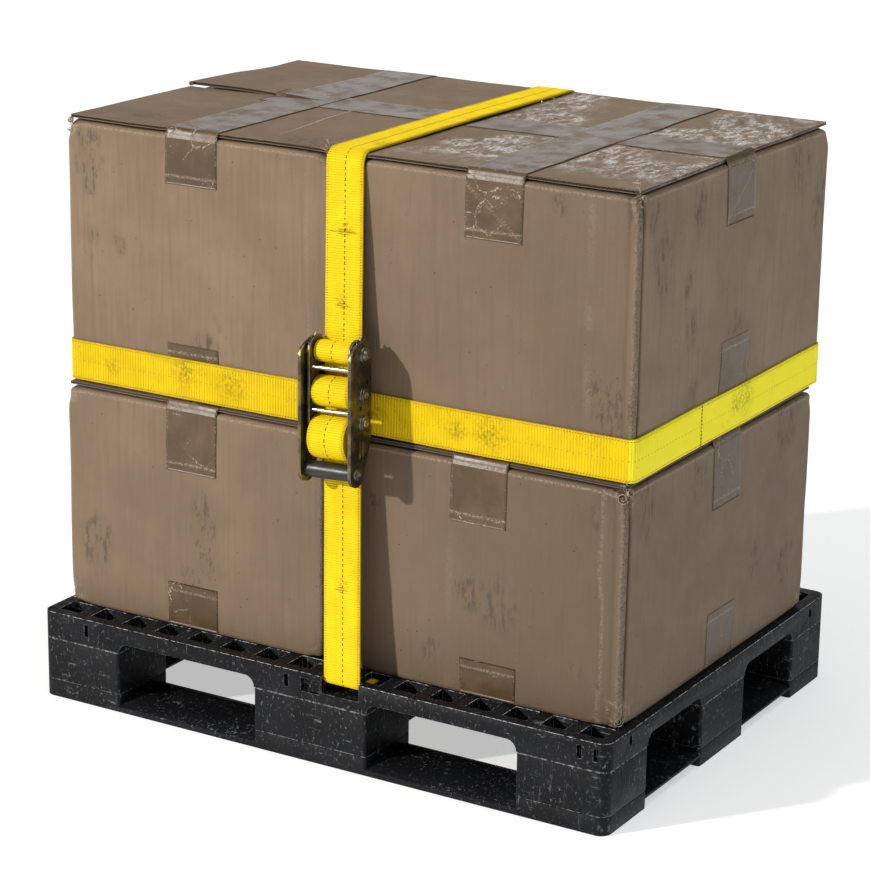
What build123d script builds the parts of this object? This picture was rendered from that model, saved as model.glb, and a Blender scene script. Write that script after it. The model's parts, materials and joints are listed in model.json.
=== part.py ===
from build123d import *

import os
from math import atan2, degrees

# Four cartons on a plastic half pallet, held by a webbing band and by a lashing with a ratchet.
# Millimetres. The origin is the middle of the pallet's underside, +Z is up and -Y is the front.

# Pallet
PALLET_LENGTH = 800.0
PALLET_WIDTH = 600.0
PALLET_CORNER_RADIUS = 14.0
BASE_HEIGHT = 22.0
BLOCK_HEIGHT = 56.0
DECK_HEIGHT = 34.0
END_BLOCK_LENGTH = 118.0
MIDDLE_BLOCK_LENGTH = 160.0
END_BLOCK_WIDTH = 100.0
MIDDLE_BLOCK_WIDTH = 120.0
BLOCK_EDGE_RADIUS = 4.0
OPENING_TOP_RADIUS = 13.0
RAIL_WIDTH = 98.0
RAIL_CREST_WIDTH = 44.0
RAIL_CREST_HEIGHT = 18.0
RAIL_LIP_HEIGHT = 7.0
SIDE_RAIL_LIFT = 12.0
SIDE_RAIL_LIP = 3.0
RIM_WIDTH = 15.0
POCKET_SIZE = 31.0
POCKET_DEPTH = 16.0
POCKET_COLUMNS = 16
POCKET_ROWS = 12

# Openings in the deck's rim
NOTCH_DEPTH = 8.0
NOTCH_SIDE_CLEARANCE = 1.0
TUNNEL_HEIGHT = 13.0
TUNNEL_ROOF_THICKNESS = 8.0
RIM_SLOT_WIDTH = 6.0
RIM_SLOT_HEIGHT = 16.0
RIM_SLOT_DEPTH = 7.0
RIM_SLOT_DROP = 7.0
FRONT_SLOT_PLACES = (-332.0, -33.0, 363.0, 384.0)
SIDE_SLOT_PLACES = (-244.0, 253.0)
SIDE_SLOT_WIDTH = 7.0
SIDE_SLOT_HEIGHT = 12.0
RIM_WINDOW_PLACE = 1.0
RIM_WINDOW_WIDTH = 26.0
RIM_WINDOW_HEIGHT = 17.0

# Cartons
LEFT_CARTON_LENGTH = 378.0
RIGHT_CARTON_LENGTH = 354.0
CARTON_DEPTH = 500.0
LOWER_CARTON_HEIGHT = 290.0
UPPER_CARTON_HEIGHT = 331.0
CARTON_EDGE_RADIUS = 8.0
STACK_GAP = 44.0
STACK_GAP_PLACE = 16.0
LOWER_LEFT_SHIFT = (-5.0, -5.0)
LOWER_RIGHT_SHIFT = (-2.0, -5.0)
UPPER_LEFT_SHIFT = (0.0, 0.0)
UPPER_RIGHT_SHIFT = (0.0, 0.0)
SEAM_WIDTH = 3.0
SEAM_DEPTH = 4.0

# Parcel tape
TAPE_WIDTH = 74.0
TAPE_THICKNESS = 0.4
TAPE_GAP = 0.1
OPEN_SEAM_LENGTH = 134.0

# Strips of each carton, top and then bottom: place along X, front tab and side tab
LOWER_LEFT_STRIPS = ((0.0, 88.0, 88.0), (0.0, 58.0, 71.0))
LOWER_RIGHT_STRIPS = ((-12.0, 79.0, 88.0), (4.0, 46.0, 71.0))
UPPER_LEFT_STRIPS = ((-5.0, 66.0, 78.0), (-5.0, 70.0, 90.0))
UPPER_RIGHT_STRIPS = ((-4.0, 78.0, 78.0), (-4.0, 50.0, 116.0))

# Webbing
WEBBING_WIDTH = 50.0
WEBBING_THICKNESS = 2.5
BAND_HEIGHT_ABOVE_JOINT = 3.0
BAND_CORNER_RADIUS = 7.5
LASHING_TOP_PLACE = 16.0
LASHING_BOTTOM_PLACE = 43.0
LASHING_STANDOFF = 1.0

# Ratchet, in its own frame: X along the spindle, +Y towards the cartons, +Z up the lashing
SPINDLE_DROP = 228.0
WINDING_RADIUS = 14.8
IDLER_ROLL_RADIUS = 20.2
END_ROLL_RADIUS = 28.8
IDLER_DROP = 47.0
END_BOLT_DROP = 80.0
END_ROLL_SAG = 20.0
ROLL_BORE_GAP = 0.3
FRAME_GAP = 52.0
FRAME_PLATE = 3.0
WHEEL_THICKNESS = 2.2
WHEEL_RADIUS = 19.5
WHEEL_TEETH = 12
TOOTH_DEPTH = 3.5
WHEEL_CLEARANCE = 0.45
HANDLE_PLATE = 3.0
HANDLE_LIP = 1.0
HANDLE_LIP_DEPTH = 5.0
PLATE_BACK = 16.0
FRAME_FRONT = 20.0
HANDLE_FRONT = 29.0
PLATE_TOP_RADIUS = 17.0
FRAME_END_RADIUS = 11.0
FRAME_SETBACK = 1.0
HANDLE_END_RADIUS = 15.5
HANDLE_BACK_RADIUS = 16.0
HANDLE_TOP_DROP = 6.0
HANDLE_TAPER_LENGTH = 40.0
BARREL_RADIUS = 9.0
JOURNAL_RADIUS = 7.0
JOURNAL_CLEARANCE = 0.05
CAP_RADIUS = 9.5
CAP_THICKNESS = 2.7
CAP_CLEARANCE = 0.3
SPINDLE_HEAD_RADIUS = 6.0
SPINDLE_HEAD_HEIGHT = 3.5
IDLER_BOLT_RADIUS = 5.0
END_BOLT_RADIUS = 5.0
BOLT_HEAD_EXTRA = 3.0
BOLT_HEAD_HEIGHT = 2.5
ROD_RADIUS = 2.75
ROD_FORWARD = 14.0
ROD_DROPS = (18.0, 68.0)
GRIP_DROP = 138.0
GRIP_FORWARD = 13.0
GRIP_RADIUS = 10.25
GRIP_END_GAP = 0.3
GRIP_BOLT_RADIUS = 4.0
RIVET_SHANK_RADIUS = 4.0
RIVET_HEAD_HEIGHT = 4.0
IDLER_RIVET_RADIUS = 8.0
END_RIVET_RADIUS = 9.0
GRIP_RIVET_RADIUS = 6.0
SLOT_LENGTH = 24.0
SLOT_WIDTH = 8.0
SLOT_DROP = 111.0
SLOT_FORWARD = 4.0
PLATE_HOLES = ((9.0, -33.5), (-5.0, -62.0))
PLATE_HOLE_RADIUS = 2.5

# Levels and places that follow from the sizes above
BLOCK_TOP = BASE_HEIGHT + BLOCK_HEIGHT
DECK_TOP = BLOCK_TOP + DECK_HEIGHT
CARTON_JOINT = DECK_TOP + LOWER_CARTON_HEIGHT
STACK_TOP = CARTON_JOINT + UPPER_CARTON_HEIGHT
OPENING_LENGTH = (PALLET_LENGTH - 2 * END_BLOCK_LENGTH - MIDDLE_BLOCK_LENGTH) / 2
OPENING_WIDTH = (PALLET_WIDTH - 2 * END_BLOCK_WIDTH - MIDDLE_BLOCK_WIDTH) / 2
OPENING_PLACE_X = (MIDDLE_BLOCK_LENGTH + OPENING_LENGTH) / 2
OPENING_PLACE_Y = (MIDDLE_BLOCK_WIDTH + OPENING_WIDTH) / 2
TUNNEL_ROOF = DECK_TOP - TUNNEL_ROOF_THICKNESS
TUNNEL_FLOOR = TUNNEL_ROOF - TUNNEL_HEIGHT
TUNNEL_WIDTH = WEBBING_WIDTH + 2 * NOTCH_SIDE_CLEARANCE
FRAME_IN = FRAME_GAP / 2
FRAME_OUT = FRAME_IN + FRAME_PLATE
WHEEL_IN = FRAME_OUT + WHEEL_CLEARANCE
WHEEL_OUT = WHEEL_IN + WHEEL_THICKNESS
HANDLE_IN = WHEEL_OUT + WHEEL_CLEARANCE
HANDLE_OUT = HANDLE_IN + HANDLE_PLATE


def above(z):
    """Move to a height."""
    return Pos(0, 0, z)


def standing_box(length, width, height):
    """Box centred on X and Y that stands on Z = 0."""
    return Box(length, width, height, align=(Align.CENTER, Align.CENTER, Align.MIN))


def cylinder_on_x(radius, x_from, x_to):
    """Cylinder about the X axis between two places."""
    length = x_to - x_from
    return Pos((x_from + x_to) / 2, 0, 0) * Rot(0, 90, 0) * Cylinder(radius, length)


# ---------------------------------------------------------------- pallet

def block_plan():
    """The nine places of the blocks, each with its length and width."""
    columns = (
        (-(PALLET_LENGTH - END_BLOCK_LENGTH) / 2, END_BLOCK_LENGTH),
        (0.0, MIDDLE_BLOCK_LENGTH),
        ((PALLET_LENGTH - END_BLOCK_LENGTH) / 2, END_BLOCK_LENGTH),
    )
    rows = (
        (-(PALLET_WIDTH - END_BLOCK_WIDTH) / 2, END_BLOCK_WIDTH),
        (0.0, MIDDLE_BLOCK_WIDTH),
        ((PALLET_WIDTH - END_BLOCK_WIDTH) / 2, END_BLOCK_WIDTH),
    )
    return [(x, y, length, width) for x, length in columns for y, width in rows]


def pallet_outline(height):
    return extrude(RectangleRounded(PALLET_LENGTH, PALLET_WIDTH, PALLET_CORNER_RADIUS), height)


def make_blocks(height):
    """Nine posts with rounded edges, cut flush with the pallet's outline."""
    outline = pallet_outline(height)
    posts = []
    for x, y, length, width in block_plan():
        post = extrude(RectangleRounded(length, width, BLOCK_EDGE_RADIUS), height)
        posts.append((Pos(x, y, 0) * post) & outline)
    return posts


def channel(width, length):
    """Fork channel along Y below the deck, with its two upper corners rounded."""
    profile = Plane.XZ * Rectangle(width, 2 * OPENING_TOP_RADIUS)
    tool = extrude(profile, length / 2, both=True)
    top_edges = tool.edges().filter_by(Axis.Y).group_by(Axis.Z)[-1]
    return above(BLOCK_TOP) * fillet(top_edges, OPENING_TOP_RADIUS)


def rim_openings():
    """Slots and window of the front long side and slots of the right side."""
    face = -PALLET_WIDTH / 2
    top = DECK_TOP - RIM_SLOT_DROP
    tools = []
    for x in FRONT_SLOT_PLACES:
        slot = Box(RIM_SLOT_WIDTH, 2 * RIM_SLOT_DEPTH, RIM_SLOT_HEIGHT)
        tools.append(Pos(x, face, top - RIM_SLOT_HEIGHT / 2) * slot)
    window = Box(RIM_WINDOW_WIDTH, 2 * RIM_SLOT_DEPTH, RIM_WINDOW_HEIGHT)
    tools.append(Pos(RIM_WINDOW_PLACE, face, top - RIM_WINDOW_HEIGHT / 2) * window)
    for y in SIDE_SLOT_PLACES:
        slot = Box(2 * RIM_SLOT_DEPTH, SIDE_SLOT_WIDTH, SIDE_SLOT_HEIGHT)
        tools.append(Pos(PALLET_LENGTH / 2, y, top - SIDE_SLOT_HEIGHT / 2) * slot)
    return tools


def make_deck():
    """Top moulding: rim, grid of pockets, strap notches and the tunnel between them."""
    deck = above(BLOCK_TOP) * pallet_outline(DECK_HEIGHT)
    for side in (-1, 1):
        deck -= Pos(side * OPENING_PLACE_X, 0, 0) * channel(OPENING_LENGTH, PALLET_WIDTH)
        deck -= Pos(0, side * OPENING_PLACE_Y, 0) * Rot(0, 0, 90) * channel(OPENING_WIDTH, PALLET_LENGTH)
    inset = RIM_WIDTH + POCKET_SIZE / 2
    pitch_x = (PALLET_LENGTH - 2 * inset) / (POCKET_COLUMNS - 1)
    pitch_y = (PALLET_WIDTH - 2 * inset) / (POCKET_ROWS - 1)
    places = GridLocations(pitch_x, pitch_y, POCKET_COLUMNS, POCKET_ROWS)
    pocket = Box(POCKET_SIZE, POCKET_SIZE, 2 * POCKET_DEPTH)
    deck -= [above(DECK_TOP) * place * pocket for place in places]
    for tool in rim_openings():
        deck -= tool
        deck -= Rot(0, 0, 180) * tool
    tunnel = standing_box(TUNNEL_WIDTH, PALLET_WIDTH, TUNNEL_HEIGHT)
    deck -= Pos(LASHING_BOTTOM_PLACE, 0, TUNNEL_FLOOR) * tunnel
    notch_height = DECK_TOP - TUNNEL_FLOOR
    for side in (-1, 1):
        notch = standing_box(TUNNEL_WIDTH, 2 * NOTCH_DEPTH, notch_height)
        deck -= Pos(LASHING_BOTTOM_PLACE, side * PALLET_WIDTH / 2, TUNNEL_FLOOR) * notch
    return deck


def rail(length, lift, lip, crest):
    """Rail along X with a flat underside, low lips and a raised crest."""
    half = RAIL_WIDTH / 2
    crest_half = RAIL_CREST_WIDTH / 2
    profile = Polygon(
        (-half, lift), (half, lift), (half, lift + lip), (crest_half, crest),
        (-crest_half, crest), (-half, lift + lip), align=None,
    )
    return extrude(Plane.YZ * profile, length / 2, both=True)


def make_base():
    """Bottom frame: nine feet joined by three long rails and three raised side rails."""
    base = None
    for foot in make_blocks(BASE_HEIGHT):
        base = foot if base is None else base + foot
    edge_y = (PALLET_WIDTH - RAIL_WIDTH) / 2
    edge_x = (PALLET_LENGTH - RAIL_WIDTH) / 2
    long_rail = rail(PALLET_LENGTH - END_BLOCK_LENGTH, 0.0, RAIL_LIP_HEIGHT, RAIL_CREST_HEIGHT)
    side_rail = rail(
        PALLET_WIDTH - END_BLOCK_WIDTH, SIDE_RAIL_LIFT, SIDE_RAIL_LIP, RAIL_CREST_HEIGHT,
    )
    for step in (-1, 0, 1):
        base += Pos(0, step * edge_y, 0) * long_rail
        base += Pos(step * edge_x, 0, 0) * Rot(0, 0, 90) * side_rail
    return base


# ---------------------------------------------------------------- cartons and tape

def tape_layer(length, tab, near, far):
    """Tape bent down over both ends of a top face, between two depths under the surface.

    The strip runs along X, its top surface is at Z = 0 and its tabs hang down.
    """
    outer = Pos(0, 0, -tab) * standing_box(length - 2 * near, TAPE_WIDTH, tab - near)
    inner = Pos(0, 0, -tab) * standing_box(length - 2 * far, TAPE_WIDTH, tab - far)
    return outer - inner


def make_carton(length, height, centre_x, shift, level, strips, open_seam=0.0):
    """One taped carton: its block and its four strips of tape.

    strips holds, for the top and then the bottom, the place along X of the strip that
    crosses from front to back, and the lengths of the tabs on the front and on the side.
    """
    block = extrude(RectangleRounded(length, CARTON_DEPTH, CARTON_EDGE_RADIUS), height)
    seam = Box(length, SEAM_WIDTH, 2 * SEAM_DEPTH)
    cross_near = TAPE_THICKNESS + TAPE_GAP
    cross_far = 2 * TAPE_THICKNESS + TAPE_GAP
    tapes = []
    for end, (place, front_tab, side_tab) in zip(("top", "bottom"), strips):
        if end == "top":
            frame = Pos(0, 0, height)
        else:
            frame = Rot(180, 0, 0)
        along = Pos(place, 0, 0) * Rot(0, 0, 90)
        block -= frame * seam
        block -= frame * tape_layer(length, side_tab, 0.0, cross_far)
        block -= frame * along * tape_layer(CARTON_DEPTH, front_tab, 0.0, TAPE_THICKNESS)
        cross = tape_layer(length, side_tab, cross_near, cross_far)
        if end == "top" and open_seam > 0:
            bare = Box(2 * open_seam, 2 * TAPE_WIDTH, 4 * side_tab)
            cross -= Pos(-length / 2, 0, 0) * bare
        tapes.append(frame * cross)
        tapes.append(frame * along * tape_layer(CARTON_DEPTH, front_tab, 0.0, TAPE_THICKNESS))
    place = Pos(centre_x + shift[0], shift[1], level)
    return place * block, [place * tape for tape in tapes]


def make_cartons():
    left_x = STACK_GAP_PLACE - (STACK_GAP + LEFT_CARTON_LENGTH) / 2
    right_x = STACK_GAP_PLACE + (STACK_GAP + RIGHT_CARTON_LENGTH) / 2
    return {
        "lower_left": make_carton(
            LEFT_CARTON_LENGTH, LOWER_CARTON_HEIGHT, left_x, LOWER_LEFT_SHIFT, DECK_TOP,
            LOWER_LEFT_STRIPS,
        ),
        "lower_right": make_carton(
            RIGHT_CARTON_LENGTH, LOWER_CARTON_HEIGHT, right_x, LOWER_RIGHT_SHIFT, DECK_TOP,
            LOWER_RIGHT_STRIPS,
        ),
        "upper_left": make_carton(
            LEFT_CARTON_LENGTH, UPPER_CARTON_HEIGHT, left_x, UPPER_LEFT_SHIFT, CARTON_JOINT,
            UPPER_LEFT_STRIPS, OPEN_SEAM_LENGTH,
        ),
        "upper_right": make_carton(
            RIGHT_CARTON_LENGTH, UPPER_CARTON_HEIGHT, right_x, UPPER_RIGHT_SHIFT, CARTON_JOINT,
            UPPER_RIGHT_STRIPS,
        ),
    }


# ---------------------------------------------------------------- webbing

def make_band():
    """Sewn band round the foot of the upper cartons."""
    left = STACK_GAP_PLACE - STACK_GAP / 2 - LEFT_CARTON_LENGTH + UPPER_LEFT_SHIFT[0]
    right = STACK_GAP_PLACE + STACK_GAP / 2 + RIGHT_CARTON_LENGTH + UPPER_RIGHT_SHIFT[0]
    length = right - left
    outer = RectangleRounded(
        length + 2 * WEBBING_THICKNESS, CARTON_DEPTH + 2 * WEBBING_THICKNESS,
        BAND_CORNER_RADIUS + WEBBING_THICKNESS,
    )
    inner = RectangleRounded(length, CARTON_DEPTH, BAND_CORNER_RADIUS)
    level = CARTON_JOINT + BAND_HEIGHT_ABOVE_JOINT
    return Pos((left + right) / 2, 0, level) * extrude(outer - inner, WEBBING_WIDTH)


def lashing_corners():
    """Inner corners of the lashing's loop: front top, back top, back bottom, front bottom."""
    top_y = CARTON_DEPTH / 2
    bottom_y = PALLET_WIDTH / 2 - NOTCH_DEPTH + LASHING_STANDOFF
    return (
        Vector(LASHING_TOP_PLACE, -top_y, STACK_TOP),
        Vector(LASHING_TOP_PLACE, top_y, STACK_TOP),
        Vector(LASHING_BOTTOM_PLACE, bottom_y, TUNNEL_ROOF),
        Vector(LASHING_BOTTOM_PLACE, -bottom_y, TUNNEL_ROOF),
    )


def outward(start, end):
    """Unit normal, away from the load, of a stretch that runs round the loop."""
    return Vector(1, 0, 0).cross(end - start).normalized()


def web_run(start, end):
    """Straight stretch of webbing between two points of its inner face."""
    half = Vector(WEBBING_WIDTH / 2, 0, 0)
    rise = outward(start, end) * WEBBING_THICKNESS
    section = Face(Wire.make_polygon([start - half, start + half, start + half + rise, start - half + rise]))
    return Solid.extrude(section, end - start)


def web_bend(corner, before, after):
    """Bend of the webbing over a sharp edge, between two outward normals."""
    first = degrees(atan2(before.Z, before.Y))
    last = degrees(atan2(after.Z, after.Y))
    turn = (last - first + 180) % 360 - 180
    arc = CenterArc((corner.Y, corner.Z), WEBBING_THICKNESS, first, turn)
    middle = (corner.Y, corner.Z)
    face = make_face([arc, Line(middle, arc @ 0), Line(arc @ 1, middle)])
    return Pos(corner.X, 0, 0) * extrude(Plane.YZ * face, WEBBING_WIDTH / 2, both=True)


def ratchet_plane():
    """Frame of the ratchet: its origin is on the spindle, in front of the lashing's line."""
    top, _, _, bottom = lashing_corners()
    up = (top - bottom).normalized()
    inward = outward(bottom, top) * -1
    on_line = top - up * SPINDLE_DROP
    across = inward.cross(up)
    return Plane(origin=on_line - inward * WINDING_RADIUS, x_dir=across, z_dir=up)


def make_lashing(plane):
    """One length of webbing: the loop round the load, its winding and its two rolls."""
    corners = lashing_corners()
    front_top, back_top, back_bottom, front_bottom = corners
    up = (front_top - front_bottom).normalized()
    strap = None
    for index, start in enumerate(corners[:3]):
        run = web_run(start, corners[index + 1])
        strap = run if strap is None else strap + run
    tail_end = front_top - up * (SPINDLE_DROP + IDLER_DROP)
    strap += web_run(tail_end, front_top)
    roll_foot = SPINDLE_DROP + IDLER_DROP + IDLER_ROLL_RADIUS
    strap += web_run(front_bottom, front_top - up * roll_foot)
    for index, corner in enumerate(corners):
        before = outward(corners[index - 1], corner)
        after = outward(corner, corners[(index + 1) % 4])
        strap += web_bend(corner, before, after)
    half = WEBBING_WIDTH / 2
    rolls = cylinder_on_x(WINDING_RADIUS, -half, half)
    rolls += Pos(0, 0, -IDLER_DROP) * cylinder_on_x(IDLER_ROLL_RADIUS, -half, half)
    rolls += Pos(0, 0, -END_BOLT_DROP - END_ROLL_SAG) * cylinder_on_x(END_ROLL_RADIUS, -half, half)
    strap += plane.location * rolls
    bores = cylinder_on_x(BARREL_RADIUS + ROLL_BORE_GAP, -FRAME_GAP, FRAME_GAP)
    for drop, radius in ((IDLER_DROP, IDLER_BOLT_RADIUS), (END_BOLT_DROP, END_BOLT_RADIUS)):
        bore = cylinder_on_x(radius + ROLL_BORE_GAP, -FRAME_GAP, FRAME_GAP)
        bores += Pos(0, 0, -drop) * bore
    return strap - plane.location * bores


# ---------------------------------------------------------------- ratchet

def hull_plate(circles, x_from, thickness):
    """Plate across X whose outline is the hull of circles given as (y, z, radius)."""
    edges = [(Pos(y, z, 0) * Circle(radius)).edge() for y, z, radius in circles]
    outline = make_hull(edges)
    return Pos(x_from, 0, 0) * extrude(Plane.YZ * outline, thickness)


def frame_circles():
    back = PLATE_BACK - FRAME_SETBACK
    end = FRAME_END_RADIUS
    return (
        (PLATE_TOP_RADIUS - FRAME_FRONT, 0.0, PLATE_TOP_RADIUS),
        (back - end, 0.0, end),
        (back - end, -END_BOLT_DROP, end),
        (end - FRAME_FRONT, -END_BOLT_DROP, end),
    )


def handle_circles():
    back = PLATE_BACK - HANDLE_BACK_RADIUS
    return (
        (PLATE_TOP_RADIUS - HANDLE_FRONT, -HANDLE_TOP_DROP, PLATE_TOP_RADIUS),
        (back, 0.0, HANDLE_BACK_RADIUS),
        (back, HANDLE_TAPER_LENGTH - GRIP_DROP, HANDLE_BACK_RADIUS),
        (-GRIP_FORWARD, -GRIP_DROP, HANDLE_END_RADIUS),
    )


def at_side(side, shape):
    """The shape as built for the right side, or mirrored for the left."""
    return shape if side > 0 else mirror(shape, Plane.YZ)


def rod_at(drop, radius, reach):
    return Pos(0, -ROD_FORWARD, -drop) * cylinder_on_x(radius, -reach, reach)


def make_frame():
    """The two inner plates, with holes for the spindle, the bolts and the rods."""
    holes = cylinder_on_x(JOURNAL_RADIUS + JOURNAL_CLEARANCE, -FRAME_GAP, FRAME_GAP)
    holes += Pos(0, 0, -IDLER_DROP) * cylinder_on_x(IDLER_BOLT_RADIUS, -FRAME_GAP, FRAME_GAP)
    holes += Pos(0, 0, -END_BOLT_DROP) * cylinder_on_x(END_BOLT_RADIUS, -FRAME_GAP, FRAME_GAP)
    for drop in ROD_DROPS:
        holes += rod_at(drop, ROD_RADIUS, FRAME_GAP)
    plate = hull_plate(frame_circles(), FRAME_IN, FRAME_PLATE)
    return [at_side(side, plate) - holes for side in (-1, 1)]


def toothed_wheel():
    """Ratchet wheel with saw teeth, as thick as stated, from X = 0."""
    pitch = 360.0 / WHEEL_TEETH
    root = WHEEL_RADIUS - TOOTH_DEPTH
    points = []
    for tooth in range(WHEEL_TEETH):
        tip = Vector(WHEEL_RADIUS, 0).rotate(Axis.Z, tooth * pitch)
        foot = Vector(root, 0).rotate(Axis.Z, (tooth + 0.15) * pitch)
        points.extend((tip, foot))
    outline = Polygon(*[(point.X, point.Y) for point in points], align=None)
    return extrude(Plane.YZ * outline, WHEEL_THICKNESS)


def make_spindle():
    """Barrel, journals, two toothed wheels and the two end caps, all turning as one."""
    spindle = cylinder_on_x(BARREL_RADIUS, -FRAME_IN, FRAME_IN)
    cap_from = HANDLE_OUT + CAP_CLEARANCE
    cap_to = cap_from + CAP_THICKNESS
    spindle += cylinder_on_x(JOURNAL_RADIUS, -cap_to, cap_to)
    wheel = Pos(WHEEL_IN, 0, 0) * toothed_wheel()
    cap = cylinder_on_x(CAP_RADIUS, cap_from, cap_to)
    cap += cylinder_on_x(SPINDLE_HEAD_RADIUS, cap_to, cap_to + SPINDLE_HEAD_HEIGHT)
    for side in (-1, 1):
        spindle += at_side(side, wheel)
        spindle += at_side(side, cap)
    return spindle


def frame_bolt(radius, drop):
    """Bolt across the frame whose flat heads stay clear of the handle."""
    bolt = cylinder_on_x(radius, -FRAME_OUT, FRAME_OUT)
    head = cylinder_on_x(radius + BOLT_HEAD_EXTRA, FRAME_OUT, FRAME_OUT + BOLT_HEAD_HEIGHT)
    for side in (-1, 1):
        bolt += at_side(side, head)
    return Pos(0, 0, -drop) * bolt


def make_handle():
    """The two outer plates, each with a turned lip along its front edge."""
    plate = hull_plate(handle_circles(), HANDLE_IN, HANDLE_PLATE)
    lip = hull_plate(handle_circles(), HANDLE_OUT, HANDLE_LIP)
    keep = Box(HANDLE_LIP, HANDLE_LIP_DEPTH, 2 * GRIP_DROP)
    keep_y = HANDLE_LIP_DEPTH / 2 - HANDLE_FRONT
    lip &= Pos(HANDLE_OUT + HANDLE_LIP / 2, keep_y, -GRIP_DROP / 2) * keep
    plate += lip
    reach = 2 * HANDLE_OUT
    holes = cylinder_on_x(JOURNAL_RADIUS + JOURNAL_CLEARANCE, -reach, reach)
    holes += Pos(0, -GRIP_FORWARD, -GRIP_DROP) * cylinder_on_x(GRIP_BOLT_RADIUS, -reach, reach)
    for drop in (IDLER_DROP, END_BOLT_DROP):
        holes += Pos(0, 0, -drop) * cylinder_on_x(RIVET_SHANK_RADIUS, -reach, reach)
    for y, z in PLATE_HOLES:
        holes += Pos(0, y, z) * cylinder_on_x(PLATE_HOLE_RADIUS, -reach, reach)
    slot = extrude(Plane.YZ * Rot(0, 0, 90) * SlotOverall(SLOT_LENGTH, SLOT_WIDTH), reach, both=True)
    holes += Pos(0, -SLOT_FORWARD, -SLOT_DROP) * slot
    return [at_side(side, plate) - holes for side in (-1, 1)]


def make_grip():
    reach = HANDLE_IN - GRIP_END_GAP
    grip = cylinder_on_x(GRIP_RADIUS, -reach, reach) - cylinder_on_x(GRIP_BOLT_RADIUS, -reach, reach)
    return Pos(0, -GRIP_FORWARD, -GRIP_DROP) * grip


def make_grip_bolt():
    bolt = cylinder_on_x(GRIP_BOLT_RADIUS, -HANDLE_OUT, HANDLE_OUT)
    head = cylinder_on_x(GRIP_RIVET_RADIUS, HANDLE_OUT, HANDLE_OUT + RIVET_HEAD_HEIGHT)
    for side in (-1, 1):
        bolt += at_side(side, head)
    return Pos(0, -GRIP_FORWARD, -GRIP_DROP) * bolt


def make_rivets():
    """Two rivets in each handle plate, flush inside and with a tall head outside."""
    rivets = []
    for drop, head_radius in ((IDLER_DROP, IDLER_RIVET_RADIUS), (END_BOLT_DROP, END_RIVET_RADIUS)):
        rivet = cylinder_on_x(RIVET_SHANK_RADIUS, HANDLE_IN, HANDLE_OUT)
        rivet += cylinder_on_x(head_radius, HANDLE_OUT, HANDLE_OUT + RIVET_HEAD_HEIGHT)
        for side in (-1, 1):
            rivets.append(Pos(0, 0, -drop) * at_side(side, rivet))
    return rivets


# ---------------------------------------------------------------- assembly

def as_list(shapes):
    return list(shapes) if isinstance(shapes, (list, tuple)) else [shapes]


def solids_of(shapes):
    return [solid for shape in as_list(shapes) for solid in shape.solids()]


def placed(plane, shapes):
    """Pieces of the ratchet, moved from its own frame to where it hangs."""
    return [plane.location * shape for shape in as_list(shapes)]


def build():
    plane = ratchet_plane()
    nodes = {
        "pallet_deck": make_deck(),
        "pallet_blocks": [above(BASE_HEIGHT) * post for post in make_blocks(BLOCK_HEIGHT)],
        "pallet_base": make_base(),
    }
    for name, (block, tapes) in make_cartons().items():
        nodes["carton_" + name] = block
        nodes["tape_" + name] = tapes
    nodes["horizontal_strap"] = make_band()
    nodes["lashing_strap"] = make_lashing(plane)
    nodes["ratchet_frame"] = placed(plane, make_frame())
    nodes["ratchet_spindle"] = placed(plane, make_spindle())
    nodes["ratchet_idler_bolt"] = placed(plane, frame_bolt(IDLER_BOLT_RADIUS, IDLER_DROP))
    nodes["ratchet_end_bolt"] = placed(plane, frame_bolt(END_BOLT_RADIUS, END_BOLT_DROP))
    nodes["ratchet_rods"] = placed(plane, [rod_at(drop, ROD_RADIUS, FRAME_OUT) for drop in ROD_DROPS])
    nodes["ratchet_handle"] = placed(plane, make_handle())
    nodes["ratchet_grip"] = placed(plane, make_grip())
    nodes["ratchet_grip_bolt"] = placed(plane, make_grip_bolt())
    nodes["ratchet_rivets"] = placed(plane, make_rivets())
    return plane, nodes


def main():
    os.makedirs("parts", exist_ok=True)
    plane, nodes = build()
    for name, shapes in nodes.items():
        export_step(Compound(children=solids_of(shapes)), f"parts/{name}.step")
    hinge = plane.origin
    print(f"hinge {hinge.X:.3f} {hinge.Y:.3f} {hinge.Z:.3f}")
    print(f"hinge axis {plane.x_dir.X:.6f} {plane.x_dir.Y:.6f} {plane.x_dir.Z:.6f}")
    print(f"levels {BLOCK_TOP} {DECK_TOP} {CARTON_JOINT} {STACK_TOP}")


if __name__ == "__main__":
    main()
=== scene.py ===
import json
import math

import bmesh
import bpy
import numpy as np
from mathutils import Matrix, Vector


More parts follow.
